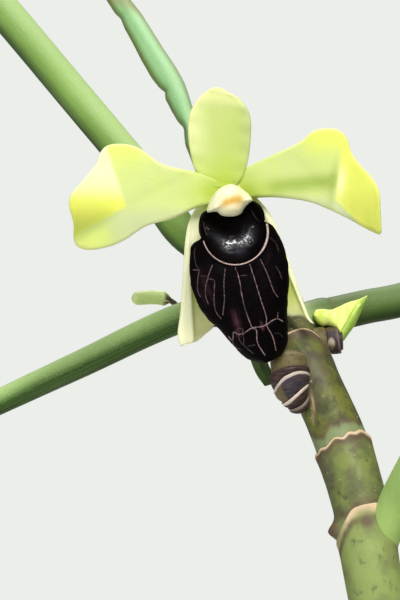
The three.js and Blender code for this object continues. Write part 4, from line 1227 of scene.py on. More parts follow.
def petalRelief(x, z, fold, slopes, side):
    # A bulge along the blade, then the folded outer third: two creases meet below its crest.
    bulge = 0.8 * np.sin(math.pi * np.minimum(1, np.abs(x) / 12))
    fromTop = side * creaseSide(fold["inner"], fold["top"], x, z)
    fromLow = -side * creaseSide(fold["inner"], fold["low"], x, z)
    upper, lower = softBend(fromTop, slopes[0]), softBend(fromLow, slopes[1])
    root = 0.4 * (1 - ramp(np.abs(x), 1.2, 3.6))
    melt = petal["melt"]
    folded = -melt * np.logaddexp(-upper / melt, -lower / melt) + melt * math.log(2)
    return bulge + folded - root, fromTop, fromLow


def petalRows():
    # Rows from root to tip, closer toward the tip.
    share = np.linspace(0, 1, petal["rows"])
    return np.sin(share * math.pi / 2) * 0.6 + share * 0.4


def tepal(shape, relief, fieldsOf, thickness=petal["thickness"]):
    # A blade between its left and right edges, both from root to tip. Points gather at the edges,
    # where the thickness closes in a round; relief(x, z) is how far its middle stands forward.
    rows = petalRows()
    left, right = spaced(shape["left"], rows)[:, None], spaced(shape["right"], rows)[:, None]
    share = (1 - np.cos(np.linspace(0, math.pi, petal["columns"] + 1)))[None, :, None] / 2
    place = between(left, right, share)
    x, z = place[..., 0], place[..., 1]
    width = np.linalg.norm(right - left, axis=2)
    share = share[..., 0]
    fromSide = np.minimum(share, 1 - share) * width
    fromTip = (1 - rows)[:, None] * routeLength(shape["left"]) + 0.02
    edge = np.minimum(fromSide, fromTip)
    middle = relief(x, z)
    step = 0.05
    slope = np.hypot(relief(x + step, z) - middle, relief(x, z + step) - middle) / step
    margin = 0.05 * np.sin(rows[:, None] * 40 + 5 * share) * hump(edge, 0, 1.2)
    middle = middle + margin
    half = thickness / 2 * np.minimum(1.5, np.hypot(1, slope))
    half = half * roundEdge(edge / (thickness * 0.7))
    sheets = [bloomCentre + np.stack([x, -middle - sign * half, z], -1) for sign in (1, -1)]
    fields = {name: np.clip(value, 0, 1) for name, value in fieldsOf(x, z, edge).items()}
    fields.update({"along": rows[:, None] * 15, "across": (share - 0.5) * 9})
    return slab(*sheets, fields)


def makePetals(finish):
    # The two folded petals; their colours follow the creases, the height and the reach outward, with painted
    # light and shade on their facets.
    for name, side in (("left_petal", -1), ("right_petal", 1)):
        fold, slopes = tepals[name]["fold"], tepals[name]["slopes"]

        def relief(x, z):
            return petalRelief(x, z, fold, slopes, -side)[0]

        def fields(x, z, edge):
            _, fromTop, fromLow = petalRelief(x, z, fold, slopes, -side)
            reach = np.abs(x)
            folded = ramp(np.minimum(fromTop, fromLow * 1.2), -0.1, 0.25)
            flat = 1 - folded
            heart = 0.75 * hump(np.hypot(x, z * 1.3), 0, 2.8)
            heart = heart + 0.4 * hump(z, -0.2, 1.1) * hump(reach, 2, 3.4)
            # painted light along the thin outer margins
            rim = 0.35 * hump(edge, 0, 0.22) * ramp(reach, 4, 7)
            if side < 0:
                # a white upper facet, painted light where it faces the lamp, melts into a yellow belt, which
                # darkens toward the tip
                gold = 0.5 * ramp(z, 1.5, 4.2) * ramp(reach, 6.5, 10) * flat
                belt = 0.9 * folded * (1 - ramp(z, -1.5, 0.6))
                tip = 0.35 * (1 - ramp(z, -4.6, -3.6)) * ramp(reach, 10, 13.5)
                # painted shade on the lower facet, which faces down, and along its crease; darker low on the
                # blade
                low = 0.5 * folded * (1 - ramp(z, -4.2, -1.6))
                crease = 0.3 * hump(fromLow, -0.3, 0.4) * ramp(reach, 10.5, 13)
                under = 0.25 * (1 - ramp(z, -4.4, -1.2)) * flat
                pale = 0.75 * (1 - ramp(z, -3.2, -1.2)) * flat * (1 - ramp(reach, 11, 13))
                return {"heart": heart, "cream": 0.92 * folded * ramp(z, -1.6, 1.6) + rim,
                        "gold": gold + belt + tip, "shade": low + crease + under, "pale": pale}
            # a yellow facet with a painted highlight along its crease; an olive band along the blade, and
            # painted shade beside the crease
            creaseHighlight = hump(fromTop, 0.45, 0.4) * hump(z, 0.7, 1.5)
            gold = 0.75 * ramp(z, 2.6, 5.2) * ramp(reach, 5.5, 9) * flat + 0.85 * folded
            band = 0.85 * hump(z - 0.1 * (reach - 6), 0.45, 0.8) * ramp(reach, 2, 5) * flat
            tip = 0.3 * folded * (1 - ramp(z, -4.6, -2.2)) * ramp(reach, 13, 15)
            crease = 0.3 * hump(fromTop, -0.35, 0.4) * (1 - ramp(z, 2, 4))
            pale = 0.9 * (1 - ramp(z - 0.12 * (8 - reach), -1.5, -0.1)) * flat * ramp(reach, 2, 5)
            return {"heart": heart, "cream": 0.75 * creaseHighlight + rim, "gold": gold,
                    "shade": band + 0.12 + tip + crease, "pale": pale}

        makePiece(name, [tepal(tepals[name], relief, fields)], finish, "petal", "sepals_petals")


def makeSepals(finish):
    # The hooded dorsal sepal, and two lateral ones that fall back from a fine keel.
    def dorsalRelief(x, z):
        return 0.012 * z * z + 0.05 * (x + 1) ** 2 - 0.1

    def dorsalFields(x, z, edge):
        heart = 0.7 * hump(np.hypot(x + 0.6, z), 0, 3.0) + 0.28 * hump(x, -0.6, 1.2) * (1 - ramp(z, 5, 9))
        # cream on the left half is painted light where the cupped sepal faces the lamp; the right half gets
        # painted shade
        cream = 0.5 * ramp(-x - z * 0.1, 0.8, 3.4) * ramp(z, 2, 6) + 0.5 * ramp(z, 7.8, 9.8)
        return {"heart": heart, "cream": cream, "gold": 0.3 * ramp(z, 8.2, 9.9),
                "shade": 0.2 + 0.25 * ramp(x, -0.8, 1.2) * (1 - ramp(z, 6, 9)),
                "pale": 0.6 * ramp(x, 0.8, 1.9)}

    def lateral(name, slant, offset, sense):
        def inside(x, z):
            return sense * (x + slant * z + offset)

        def relief(x, z):
            inner = inside(x, z)
            return 0.06 * z - 0.9 + 0.12 * hump(inner, 0, 0.2) - 0.25 * np.maximum(0, inner)

        def fields(x, z, edge):
            inner = inside(x, z)
            panel = ramp(inner, -0.03, 0.2) * ramp(-z, 4.5, 7.5)
            lighter = panel * ramp(-z, 9.5, 13.5)
            # painted light and shade: white and cream on the band outside the keel, darker on the panel
            # turned away past it, and white along the thin margins
            return {"white": 0.95 * (1 - panel) + 0.6 * hump(edge, 0, 0.25) + 0.3 * lighter,
                    "cream": 0.8 * (1 - panel) + 0.4 * lighter,
                    "shade": 0.35 * hump(inner, 0.3, 0.25) + 0.25 * panel - 0.15 * lighter,
                    "gold": 0.55 * panel * ramp(-z, 4, 10)}

        return name, relief, fields

    for name, relief, fields in (
            ("dorsal_sepal", dorsalRelief, dorsalFields),
            lateral("left_lateral_sepal", *petal["leftKeel"]),
            lateral("right_lateral_sepal", *petal["rightKeel"])):
        makePiece(name, [tepal(tepals[name], relief, fields)], finish, "petal", "sepals_petals")


stalk = {
    "route": [[-58, -31.6, 195.9], [-58.6, -30.8, 196.8], [-59.2, -30.2, 198.3], [-60, -29.6, 201],
              [-60.7, -29.6, 205], [-61.6, -30.2, 210.1], [-62.1, -32, 214.2]],
    "radii": ((0, 0.8), (2.5, 0.85), (6, 0.62), (13, 0.8), (19.4, 1)),  # at distances along it
    "heart": (3.1, 0.98, 2.6),   # half its width, depth and height
    "grid": (90, 36), "heartGrid": (32, 60),
}


def makeStalk(finish):
    # A ribbed, slightly twisted stalk, and the swollen heart of the bloom where the tepals meet.
    route, (rows, columns) = stalk["route"], stalk["grid"]
    distances = np.linspace(0, routeLength(route), rows)[:, None]
    turns = turnsRound(columns)
    thick = np.interp(distances, *zip(*stalk["radii"]))
    ribs = 1 + 0.06 * np.cos(6 * turns + distances * 0.12) - 0.05
    body = tube(route, distances, turns, thick * ribs, viewer,
                {"heart": 0.9, "along": distances, "across": turns,
                 # painted shade, darkest at the stalk's foot
                 "deep": 0.95 * (1 - ramp(distances, 4, 12))})
    rows, columns = stalk["heartGrid"]
    lat = np.linspace(-math.pi / 2, math.pi / 2, rows + 2)[1:-1, None]
    lon = turnsRound(columns)
    swell = 1 + 0.06 * np.cos(5 * lon - math.pi / 2)
    width, depth, height = stalk["heart"]
    heart = bloomCentre + np.stack([
        -0.1 + width * np.cos(lat) * np.cos(lon) * swell, 0.75 - depth * np.sin(lat) + 0 * lon,
        -0.3 + height * np.cos(lat) * np.sin(lon) * swell], -1)
    knot = ringed(heart, {"heart": 0.75 - 0.35 * ramp(np.sin(lat), 0.6, 1), "along": lat * 3,
                          "across": lon * 2})
    makePiece("bloom_stalk", [body, knot], finish, "petal", "sepals_petals")


petalLook = petalFinish()
makePetals(petalLook)
makeSepals(petalLook)
makeStalk(petalLook)
print("sepals and petals made")

# Lip: s runs down its tilted axis from the bowl to the tip, t across it
lip = {
    "length": 15.1, "tilt": math.radians(12.6), "root": (0.3, -2.5),
    "bowlRadius": 3.25, "bowlAt": (1.75, -0.22), "rows": 210, "columns": 120,
    "left": [[-1.1, 2.1], [-0.94, 2.69], [-0.66, 3.14], [0.16, 3.55], [1.03, 3.71], [1.62, 3.66],
             [1.74, 3.95], [1.92, 4.5], [2.26, 4.83], [2.7, 4.98], [4.33, 5.41], [6.03, 5.64],
             [7.4, 5.48], [8.56, 5.19], [9.8, 4.58], [10.9, 3.8], [12.1, 3.2], [13.5, 2.4],
             [14.4, 1.7], [15.1, 0.3]],
    "right": [[-1.1, 1.8], [-0.78, 2.39], [-0.29, 2.8], [0.41, 3.02], [1.1, 2.98], [1.42, 2.9],
              [1.52, 3.16], [1.87, 3.54], [2.24, 3.75], [3.34, 4.08], [4.69, 4.27], [6.02, 4.27],
              [7.74, 3.98], [9.37, 3.45], [10.82, 3.1], [12.34, 2.86], [13.35, 2.63], [14.3, 2.1],
              [14.9, 1.2], [15.1, 0.3]],
    # the glossy fold inside the bowl, as [s, t] points
    "fold": [[1.05, -2.65], [1.6, -2.05], [2.15, -1.7], [2.7, -1.3], [2.88, -0.5], [2.84, 0.1],
             [2.65, 0.85], [1.8, 1.35]],
    # each vein as [s, t] points, with its strength
    "veins": [
        (0.9, [[5.2, -0.95], [6.45, -0.85], [8.6, -0.95], [10.35, -0.8], [11.4, -0.6], [11.65, -0.3],
               [12.9, -0.45], [14.3, 0.0]]),
        (0.8, [[5.15, 0.5], [6.9, 0.65], [8.9, 0.8], [10.75, 0.95], [11.4, 0.8], [12.65, 1.15],
               [14.1, 1.2]]),
        (0.6, [[4.95, 1.65], [6.6, 2.0], [8.35, 2.25], [8.95, 2.5]]),
        (0.6, [[5.05, -1.95], [6.45, -2.4], [8.0, -2.7], [9.5, -3.2]]),
        (0.42, [[4.45, -3.1], [5.5, -3.8], [6.6, -4.3], [7.3, -4.45], [8.15, -4.35]]),
        (0.45, [[5.7, -3.85], [5.95, -3.3], [6.8, -3.45], [7.75, -3.7], [9.0, -3.8], [9.85, -3.45]]),
        (0.35, [[4.65, -4.5], [5.7, -4.9], [6.7, -5.1], [7.3, -4.95]]),
        (0.45, [[4.65, -4.5], [4.5, -5.1]]),
        (0.2, [[2.4, -4.45], [3.1, -4.65], [4.0, -4.7], [4.6, -4.55]]),
        (0.25, [[5.9, 2.95], [6.6, 3.2], [7.3, 3.3]]),
        (0.15, [[3.0, 3.0], [3.7, 3.5], [4.6, 3.6]]),
        (1.0, [[11.75, -3.1], [12.2, -2.8], [11.4, -2.5], [11.7, -2.1], [11.75, -1.65], [11.4, -0.7],
               [11.45, 0.2], [11.4, 0.8], [11.15, 1.35], [11.05, 2.0], [11.45, 2.5]]),
        (0.5, [[11.05, 2.0], [10.45, 2.2]]),
        (0.3, [[11.7, -2.1], [12.4, -2.1], [13.0, -1.75], [13.9, -1.1]]),
        (0.35, [[12.2, -2.8], [12.8, -2.75], [13.3, -2.2]]),
        (0.3, [[6.1, -0.6], [6.2, -0.05]]),
        (0.12, [[-0.05, 1.9], [0.7, 2.05], [1.3, 2.45]]),
        (0.2, [[0.1, -3.05], [0.8, -3.1], [1.5, -3.0]]),
        (0.22, [[5.27, -4.5], [5.4, -3.95]]),
        (0.3, [[11.3, -2.2], [11.15, -1.9], [11.3, -1.6], [11.65, -1.65]]),
        (0.2, [[11.85, -1.66], [12.3, -1.7], [12.75, -1.8]]),
        (0.2, [[13.07, -1.4], [13.1, -0.75]]),
        (0.12, [[12.4, 1.37], [12.5, 1.8], [12.9, 2.15]]),
    ],
    # stains on the blade as (s, t, reach, strength), and painted glints of highlight on the fold as (s, t,
    # reach)
    "stains": ((6.6, -4.3, 1.7, 0.14), (10.3, -2.0, 0.9, 0.5), (11.6, -2.15, 0.5, 0.7),
               (11.4, 0.35, 0.35, 0.8)),
    "paintedGlints": ((2.78, -1.24, 0.34), (2.68, -0.45, 0.16), (2.9, 0.12, 0.24), (2.7, 0.84, 0.36)),
    "dark": (2, 1, 2), "maroon": (13, 3, 6), "vein": (160, 136, 138), "rim": (206, 180, 172),
    "stain": (112, 70, 82), "haze": (92, 92, 106), "glint": (236, 236, 242),
}


def lipFinish():
    # Near black with a maroon glow, wet in the bowl; veins and the bowl's rim are dull pink.
    # A painted grey sheen and painted white glints along the bowl's fold stand for its reflections.
    finish, wires, shader, place = newFinish("lipVelvet", Specular_IOR_Level=0.04, Coat_Roughness=0.26,
                                             Coat_IOR=2.1)
    bumps = wires.effect(softPatches, Place=place, Scale=1500.0, Low=0.35, High=0.65)
    warts = wires.effect(softPatches, Place=place, Scale=4200.0, Low=0.4, High=0.7)
    vein = wires.times(wires.remap(wires.field("veinGap"), 0.072, 0.012), wires.field("veinStrength"))
    worn = wires.remap(warts["Height"], 0.34, 0.6, 0.35, 1.0)
    brim = wires.remap(wires.field("rimGap"), 0.085, 0.025)
    colour = wires.layers(
        lip["dark"], (bumps["Mask"], lip["maroon"], 0.5), (wires.field("stain"), lip["stain"]),
        (vein, lip["vein"], worn), (brim, lip["rim"], wires.remap(worn, 0.3, 1.0, 0.7, 1.0)),
        # painted sheen, then painted highlights, along the bowl's fold
        (wires.field("haze"), lip["haze"], wires.remap(warts["Height"], 0.35, 0.65, 0.5, 1.0)),
        (wires.field("glint"), lip["glint"], wires.remap(warts["Height"], 0.46, 0.56)))
    wires.fill(shader.inputs["Coat Weight"], wires.times(wires.field("wet"), 0.95))
    relief = wires.maths("ADD", bumps["Height"], wires.times(warts["Height"], 0.5))
    surfaced(wires, shader, colour, wires.remap(brim, 0.0, 1.0, 0.6, 0.75), relief, 0.12, 0.5)
    return finish


def gapTo(line, s, t):
    # The distance from each (s, t) to a line through points, worked out span by span.
    nearest = np.full(s.shape, 99.0)
    line = curveAt(np.array(line, float), np.linspace(0, 1, 8 * (len(line) - 1) + 1))
    for (s0, t0), (s1, t1) in zip(line, line[1:]):
        run = (s1 - s0) ** 2 + (t1 - t0) ** 2
        share = np.clip(((s - s0) * (s1 - s0) + (t - t0) * (t1 - t0)) / run, 0, 1)
        nearest = np.minimum(nearest, np.hypot(s - s0 - share * (s1 - s0), t - t0 - share * (t1 - t0)))
    return nearest


def lipForm(s, t, half):
    # How far the lip stands forward: a round bowl above, and below it a blade crowned along its
    # middle whose sides fall away. The bowl's lower brim is a thin raised lip.
    bowlS, bowlT = lip["bowlAt"]
    fromBowl = np.hypot(np.maximum(0, s - bowlS), t - bowlT) / lip["bowlRadius"]
    bowl = 3 - 1.5 * (1 - np.minimum(1, fromBowl) ** 2)
    crown = 2.6 + 1.5 * np.sin(math.pi * np.clip((s - 1) / 15, 0, 1))
    outer = crown - 1.6 * np.minimum(1, np.abs(t) / half) ** 2.4
    form = np.where(fromBowl < 1, bowl, between(3, outer, np.minimum(1, (fromBowl - 1) / 0.35)))
    rimGap = np.abs(fromBowl - 1) * lip["bowlRadius"]
    return form, rimGap, fromBowl


def lipGrid():
    # Rows run down the axis, a little closer toward the tip; side runs from -1 to 1 between the
    # left and right outline, with points gathered at both.
    share = np.linspace(0, 1, lip["rows"])
    u = (0.8 * share + 0.2 * np.sin(share * math.pi / 2))[:, None]
    side = -np.cos(np.linspace(0, math.pi, lip["columns"] + 1))[None]
    side = 0.55 * side + 0.45 * np.linspace(-1, 1, lip["columns"] + 1)[None]
    s = lip["length"] * u - 1.05 * (1 - u) ** 6
    edges = [np.array(lip[key], float) for key in ("left", "right")]
    dense = [curveAt(edge, np.linspace(0, 1, 300)) for edge in edges]
    halfLeft, halfRight = (np.interp(s, edge[:, 0], edge[:, 1]) for edge in dense)
    half = np.where(side < 0, halfLeft, halfRight)
    notched = 0.05 * ripple(31, s * 2.2, 0 * s) * ramp(s, 2.5, 4)
    return u, side, s, side * (half + notched), half


def lipVeins(s, t):
    # The distance to the nearest vein, and that vein's strength.
    veinGap, strength = np.full(s.shape, 99.0), np.zeros(s.shape)
    for power, line in lip["veins"]:
        gap = gapTo(line, s, t)
        strength = np.where(gap < veinGap, power, strength)
        veinGap = np.minimum(veinGap, gap)
    return veinGap, strength


def lipStains(s, t):
    # Long soft patches, broken up by noise.
    stain = 0
    for at, over, reach, power in lip["stains"]:
        spread = hump(s, at, reach) * hump(t, over, reach * 0.4)
        stain = stain + power * spread * (0.5 + 0.5 * ripple(55, s * 2, t * 9))
    return np.clip(stain, 0, 1)


def makeLip():
    # The grid is pressed into form, gets its fold, veins and rims, and a back at its thickness.
    u, side, s, t, half = lipGrid()
    form, rimGap, fromBowl = lipForm(s, t, half)
    below = np.where(t < 0, ramp(s, 1.6, 1.9), ramp(s, 1.3, 1.6))
    rimGap = rimGap - 0.045 * ramp(t, 1.2, 2.6)
    form = form + 0.2 * hump(rimGap, 0, 0.16) * below
    # The bowl's root runs back under the column; its ears keep a rolled margin.
    above = ramp(-s, -0.6, 0.7)
    form = form - 1.3 * above * (1 - ramp(np.abs(t), 1.3, 2.4))
    form = form + 0.22 * hump(half - np.abs(t), 0.3, 0.25) * (1 - ramp(s, 1.2, 1.6))
    foldGap = gapTo(lip["fold"], s, t)
    inFold = (1 - ramp(s, 2.4, 3.4)) * np.exp(-((t + 0.3) / 1.7) ** 4)
    form = form + (0.15 * inFold + 0.42 * hump(foldGap, 0, 0.5)) * (1 - ramp(fromBowl, 0.75, 0.98))
    shine = 0.4 + 0.6 * hump(t, -1.2, 0.45) + 0.6 * hump(t, 0.5, 0.7)
    wet = hump(foldGap, 0, 0.45) * shine * (0.3 + 0.7 * ramp(s, 1.5, 2.6))
    # painted sheen along the fold and below it, and painted glints at its brightest spots
    haze = 0.3 * hump(foldGap, 0, 0.5) * ramp(s, 1.0, 2.6) + 0.3 * hump(s, 3.5, 0.55) * hump(t, -0.1, 0.5)
    glint = sum(hump(s, at, reach) * hump(t, over, reach) for at, over, reach in lip["paintedGlints"])
    veinGap, strength = lipVeins(s, t)
    # The flesh between the veins is puffed, so that each vein lies in a shallow furrow.
    form = form - 0.13 * strength * hump(veinGap, 0, 0.22) * ramp(fromBowl, 1.0, 1.1)
    form = form + 0.05 * ripple(40, s * 1.1, t * 1.1) * ramp(fromBowl, 1.05, 1.4)
    edge = np.minimum((1 - np.abs(side)) * half, (lip["length"] - s) + 0.05)
    thickness = 0.75 + 0.5 * (1 - side * side) * np.sin(math.pi * u)
    rounding = roundEdge(edge / 0.4)
    # The side margins of the blade roll back a little.
    form = form - 0.25 * (1 - roundEdge(edge / 0.9)) * ramp(s, 2.5, 4)
    sine, cosine = math.sin(lip["tilt"]), math.cos(lip["tilt"])
    x = lip["root"][0] + s * sine + t * cosine
    z = lip["root"][1] - s * cosine + t * sine
    middle = thickness / 2 - form
    front, back = (bloomCentre + np.stack([x, middle + sign * thickness / 2 * rounding, z], -1)
                   for sign in (-1, 1))
    fields = {"veinGap": veinGap, "veinStrength": strength, "stain": lipStains(s, t),
              "rimGap": rimGap + 9 * (1 - below), "haze": haze,
              "wet": np.clip(wet, 0, 1), "glint": np.clip(glint, 0, 1)}
    makePiece("lip_blade", [slab(front, back, fields)], lipFinish(), "lip", "lip", crease=60)


makeLip()
print("lip made")

# Column: a short blunt dome with its anther cap
column = {
    "cap": [[-2.33, -2.3], [-2.2, -1.65], [-1.77, -0.7], [-1.08, 0.05], [-0.38, 0.43], [0.1, 0.5],
            [0.75, 0.31], [1.39, -0.13], [1.95, -0.64], [2.2, -1.1], [1.82, -1.42], [1.39, -1.9],
            [1.05, -2.42], [0.5, -2.64], [-0.15, -2.7], [-0.75, -2.62], [-1.05, -2.46], [-1.2, -2.3],
            [-1.55, -2.22], [-2.0, -2.3]],
    # share of the outline and how far forward it stands, from the back to the front
    "stations": [[0.9, 1.25], [1, 1.75], [0.97, 2.7], [0.88, 3.5], [0.7, 4.15], [0.42, 4.6], [0.12, 4.82]],
    "rows": 54, "columns": 120,
    "blush": {"from": -1.5, "to": 1.6, "height": -1.12, "bend": 0.15},
    "cream": (252, 246, 196), "white": (255, 253, 224), "orange": (222, 172, 62), "green": (218, 228, 144),
    "tan": (244, 232, 192),
}


def capFinish():
    # Grainy cream with a green throat, a tan chin and an orange blush.
    finish, wires, shader, place = newFinish(
        "antherCap", Specular_IOR_Level=0.45, Subsurface_Weight=0.15, Subsurface_Scale=0.0008,
        Subsurface_Radius=(1.0, 0.8, 0.5))
    grain = wires.effect(softPatches, Place=place, Scale=2600.0, Low=0.35, High=0.65)
    colour = wires.layers(
        column["cream"], (grain["Mask"], column["white"]), (wires.field("throat"), column["green"]),
        (wires.field("tan"), column["tan"]), (wires.field("blush"), column["orange"]))
    rough = wires.remap(grain["Height"], 0.3, 0.7, 0.36, 0.5)
    surfaced(wires, shader, colour, rough, grain["Height"], 0.08, 0.5)
    return finish


def closedOutline(points, count):
    # A smooth closed loop through the points: the curve runs one point past each end.
    points = np.array(points, float)
    wrapped = np.vstack([points[-2:], points, points[:2]])
    at, _, lengths = measured(wrapped)
    spans = len(wrapped) - 1
    first, last = np.interp([2 / spans, (2 + len(points)) / spans], at, lengths)
    wanted = first + (last - first) * np.arange(count) / count
    return curveAt(wrapped, np.interp(wanted, lengths, at))


def puffed(shape, fieldsOf):
    # A body over an outline: each station is [share of the outline, how far forward], joined smoothly;
    # the outline rounds off toward the front.
    loop = closedOutline(shape["cap"], shape["columns"])
    middle = loop.mean(0)
    line = spaced(shape["stations"], np.linspace(0, 1, shape["rows"]))
    share, depth = line[:, :1], line[:, 1:]
    spokes = loop - middle
    reach = np.linalg.norm(spokes, axis=1)
    rounded = spokes * (reach.mean() / reach)[:, None]
    kept = np.minimum(share, 1) ** 2
    x, z = (middle[k] + share * between(rounded[None, :, k], spokes[None, :, k], kept) for k in (0, 1))
    near, fields = fieldsOf(x, z, depth + 0 * x)
    return ringed(bloomCentre + np.stack([x, -near, z], -1), fields)


def makeColumn():
    # The puffed cap, with a low keel and an orange arc pressed in a little.
    blush = column["blush"]

    def cap(x, z, near):
        # an orange arc over the cap's lower half: soft above, sharper below
        above = z - blush["height"] + blush["bend"] * (x - 1) ** 2 * (x < 1)
        arc = np.where(above > 0, hump(above, 0, 0.6), hump(above, 0, 0.42))
        arc = arc * ramp(x, blush["from"], blush["from"] + 1.1)
        arc = arc * (1 - ramp(x, blush["to"] - 0.7, blush["to"]))
        front = ramp(near, 2.2, 3.2)
        keel = 0.1 * hump(x, 0.2, 0.4) * ramp(z, -1.4, 0.2)
        near = near + keel * ramp(near, 3, 4) - 0.1 * arc * front
        under = ramp(-above, 0.15, 0.6) * ramp(x, -0.9, 0.0)
        near = near - 0.06 * hump(above, -0.5, 0.3) * front * ramp(x, -0.9, 0.0)
        return near, {"blush": 0.95 * arc * front,
                      "throat": 0.6 * (1 - ramp(near, 1.4, 2.6)) * ramp(z, -1.5, 0),
                      "tan": 0.8 * under * (1 - 0.8 * ramp(-z, 2.3, 2.55))}

    makePiece("anther_cap", [puffed(column, cap)], capFinish(), "cap", "column")


makeColumn()
print("column made")

# Flower spikes: short chains of overlapping cup-shaped bracts
spikes = {
    "inflorescence_1": {
        "route": [[-54.8, -32.6, 193], [-55.5, -33.3, 194.6], [-55.9, -33.5, 196], [-56.1, -33.4, 197.4],
                  [-56.2, -33, 198.9]],
        "rootRadius": 0.8,
        # distance of the rim, its radius, slant, side it rises to, tone from 0 maroon to 1 olive, paleness
        "cups": [(1.0, 1.25, 0.3, 60, 0.05, 0.3), (2.45, 1.65, 1.1, 65, 0.0, 1.0),
                 (4.0, 2.05, 2.0, 28, 0.45, 0.8), (4.5, 2.1, 0.8, 20, 0.1, 0.0),
                 (5.75, 1.85, 0.3, 0, 0.95, 0.1), (6.1, 1.3, 0.1, 0, 0.95, 0.0)],
    },
    "inflorescence_2": {
        "route": [[-54.2, -28.8, 199.5], [-52.6, -28.8, 199.8], [-50.5, -28.8, 199.9]],
        "rootRadius": 1.5,
        "cups": [(2.15, 1.5, 0.3, 60, 0.9, 0.0), (3.5, 1.4, 0.3, 90, 0.25, 0.1),
                 (3.9, 1.0, 0.1, 0, 0.2, 0.35)],
        # a tan hollow on the knob's front: distance, angle, and its reach along and round
        "hollow": (2.55, 0.3, 0.42, 0.62),
    },
}
bract = {
    "step": 0.28, "rows": 22, "columns": 56,
    "maroon": (46, 27, 33), "navy": (45, 42, 60), "olive": (110, 100, 58), "rim": (228, 210, 196),
    "line": (104, 80, 66), "spot": (40, 26, 30),
}


def bractFinish():
    # Dry scales: maroon, navy or olive-tan, finely ringed, with pale papery rims.
    finish, wires, shader, place = newFinish("dryBracts", Specular_IOR_Level=0.35)
    lines = wires.effect(fineStreaks, Along=wires.field("along"), Across=wires.field("across"),
                         Stretch=7.0, Lines=0.8, Low=0.35, High=0.65)
    spots = wires.effect(softPatches, Place=place, Scale=1900.0, Low=0.45, High=0.68)
    tone = wires.field("tone")
    colour = wires.layers(
        bract["maroon"], (wires.remap(tone, 0.1, 0.42), bract["navy"]),
        (wires.remap(tone, 0.55, 0.9), bract["olive"]), (lines["Mask"], bract["line"], 0.4),
        (spots["Mask"], bract["spot"], 0.35), (wires.field("rim"), bract["rim"]))
    relief = wires.maths("ADD", lines["Height"], spots["Height"])
    surfaced(wires, shader, colour, wires.remap(spots["Mask"], 0.0, 1.0, 0.5, 0.7), relief, 0.1, 0.7)
    return finish


def makeSpikes():
    # Cup after cup: each bellies out to a thin slanted rim and steps back in to the next one's foot.
    finish = bractFinish()
    turns = turnsRound(bract["columns"])
    shares = np.linspace(0, 1, bract["rows"])[:, None]
    for name, spike in spikes.items():
        foot = np.zeros_like(turns)
        start = spike["rootRadius"]
        distances, radii, rim, tone = [], [], [], []
        for k, (at, reach, slant, side, shade, pale) in enumerate(spike["cups"]):
            mouth = at + slant * (np.cos(turns - math.radians(side)) - 1) / 2
            mouth = np.maximum(mouth + 0.05 * ripple(60 + k, *circle(turns, 3)), foot + 0.15)
            rows = between(foot, mouth, shares)
            distances += [rows, mouth + 0.06, mouth + 0.02]
            belly = between(start, reach - 0.05, shares)
            belly = belly + 0.14 * np.sin(math.pi * np.minimum(shares * 1.15, 1))
            belly = np.minimum(belly, reach - 0.02) + 0 * turns
            radii += [belly, belly[-1:] - 0.06, belly[-1:] - bract["step"] * 0.7]
            # the far side of the navy cup shows olive, as its neighbour's does
            turned = shade + (0.5 * ramp(-np.sin(turns), 0.35, 0.8) if 0.2 < shade < 0.8 else 0 * turns)
            tone += [turned + 0 * rows, turned, 0 * turns]
            rim += [pale * ramp(rows, mouth - 0.24, mouth - 0.14), 0 * turns + pale, 0 * turns + 0.2 * pale]
            foot = mouth + 0.04
            start = reach - bract["step"]
        distances, radii, rim, tone = (np.vstack(each) for each in (distances, radii, rim, tone))
        if "hollow" in spike:
            at, angle, along, around = spike["hollow"]
            hollow = 1 - ramp(np.hypot((distances - at) / along, (turns - angle) / around), 0.75, 1.05)
            radii = radii - 0.12 * hollow
            tone = np.maximum(tone, 0.95 * hollow)
            rim = np.maximum(rim, 0.5 * hollow * ramp(angle - turns, -0.3, 0.2))
        fields = {"along": distances, "across": turns * radii, "rim": rim, "tone": tone}
        made = tube(spike["route"], distances, turns, radii, viewer, fields)
        makePiece(name + "_bracts", [made], finish, "bract", name, crease=55)


makeSpikes()
print("flower spikes made")

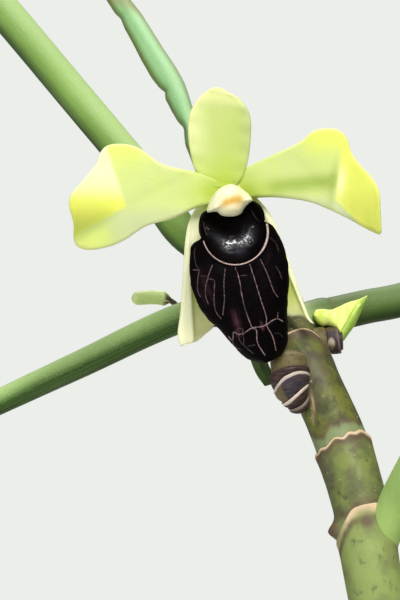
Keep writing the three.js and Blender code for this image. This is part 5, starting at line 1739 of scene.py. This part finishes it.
# The second bloom's tepal, still folded lengthwise
bud = {
    "left": [[8.54, -12.39], [8.8, -12.02], [9.41, -11.92], [10.32, -11.98], [11.03, -11.71],
             [12.05, -11.24], [13.21, -10.9], [14.03, -10.52]],
    "right": [[8.6, -12.8], [8.74, -13.12], [9.37, -13.64], [10.1, -13.59], [10.93, -14.05],
              [11.29, -14.76], [11.5, -15.24], [12.05, -14.56], [12.79, -13.54], [13.51, -11.98],
              [14.06, -10.9]],
    "depth": -5.7, "thickness": 1.3,      # how far forward of the bloom's centre it stands
    "fold": ([14.2, -10.7], [11.45, -15.6]),
    # the green paints shade along the turned-back margin
    "lime": (218, 246, 108), "yellow": (244, 252, 150), "green": (120, 164, 44),
}


def budFinish():
    # Bright lime flesh, with painted shade in darker green along the margin that turns back past the fold.
    finish, wires, shader, place = newFinish(
        "limeTepal", Specular_IOR_Level=0.45, Subsurface_Weight=0.15, Subsurface_Scale=0.001,
        Subsurface_Radius=(0.8, 1.0, 0.3))
    clouds = wires.effect(softPatches, Place=place, Scale=500.0, Low=0.35, High=0.65)
    colour = wires.layers(bud["lime"], (clouds["Mask"], bud["yellow"]), (wires.field("fold"), bud["green"]))
    rough = wires.remap(clouds["Height"], 0.3, 0.7, 0.34, 0.48)
    surfaced(wires, shader, colour, rough, clouds["Height"], 0.08, 0.4)
    return finish


def makeBud():
    # A tepal with a belly, whose margin turns back past a furrow.
    start, end = bud["fold"]

    def relief(x, z):
        # a belly along the blade; its right margin is turned back past a narrow furrow
        inside = -creaseSide(start, end, x, z)
        belly = 0.5 * np.sin(math.pi * np.clip((x - 8.5) / 6, 0, 1))
        return bud["depth"] + belly - 0.12 * hump(inside, 0.75, 0.18) - softBend(0.7 - inside, 0.6)

    def fields(x, z, edge):
        inside = -creaseSide(start, end, x, z)
        # painted shade: darker green along the margin that turns back past the fold
        band = 1 - ramp(inside + 0.08 * np.sin(z * 2), 0.35, 0.95)
        return {"fold": 0.75 * band * ramp(edge, 0.0, 0.12)}

    made = tepal(bud, relief, fields, bud["thickness"])
    makePiece("folded_tepal", [made], budFinish(), "bud", "bud")


makeBud()
print("bud made")
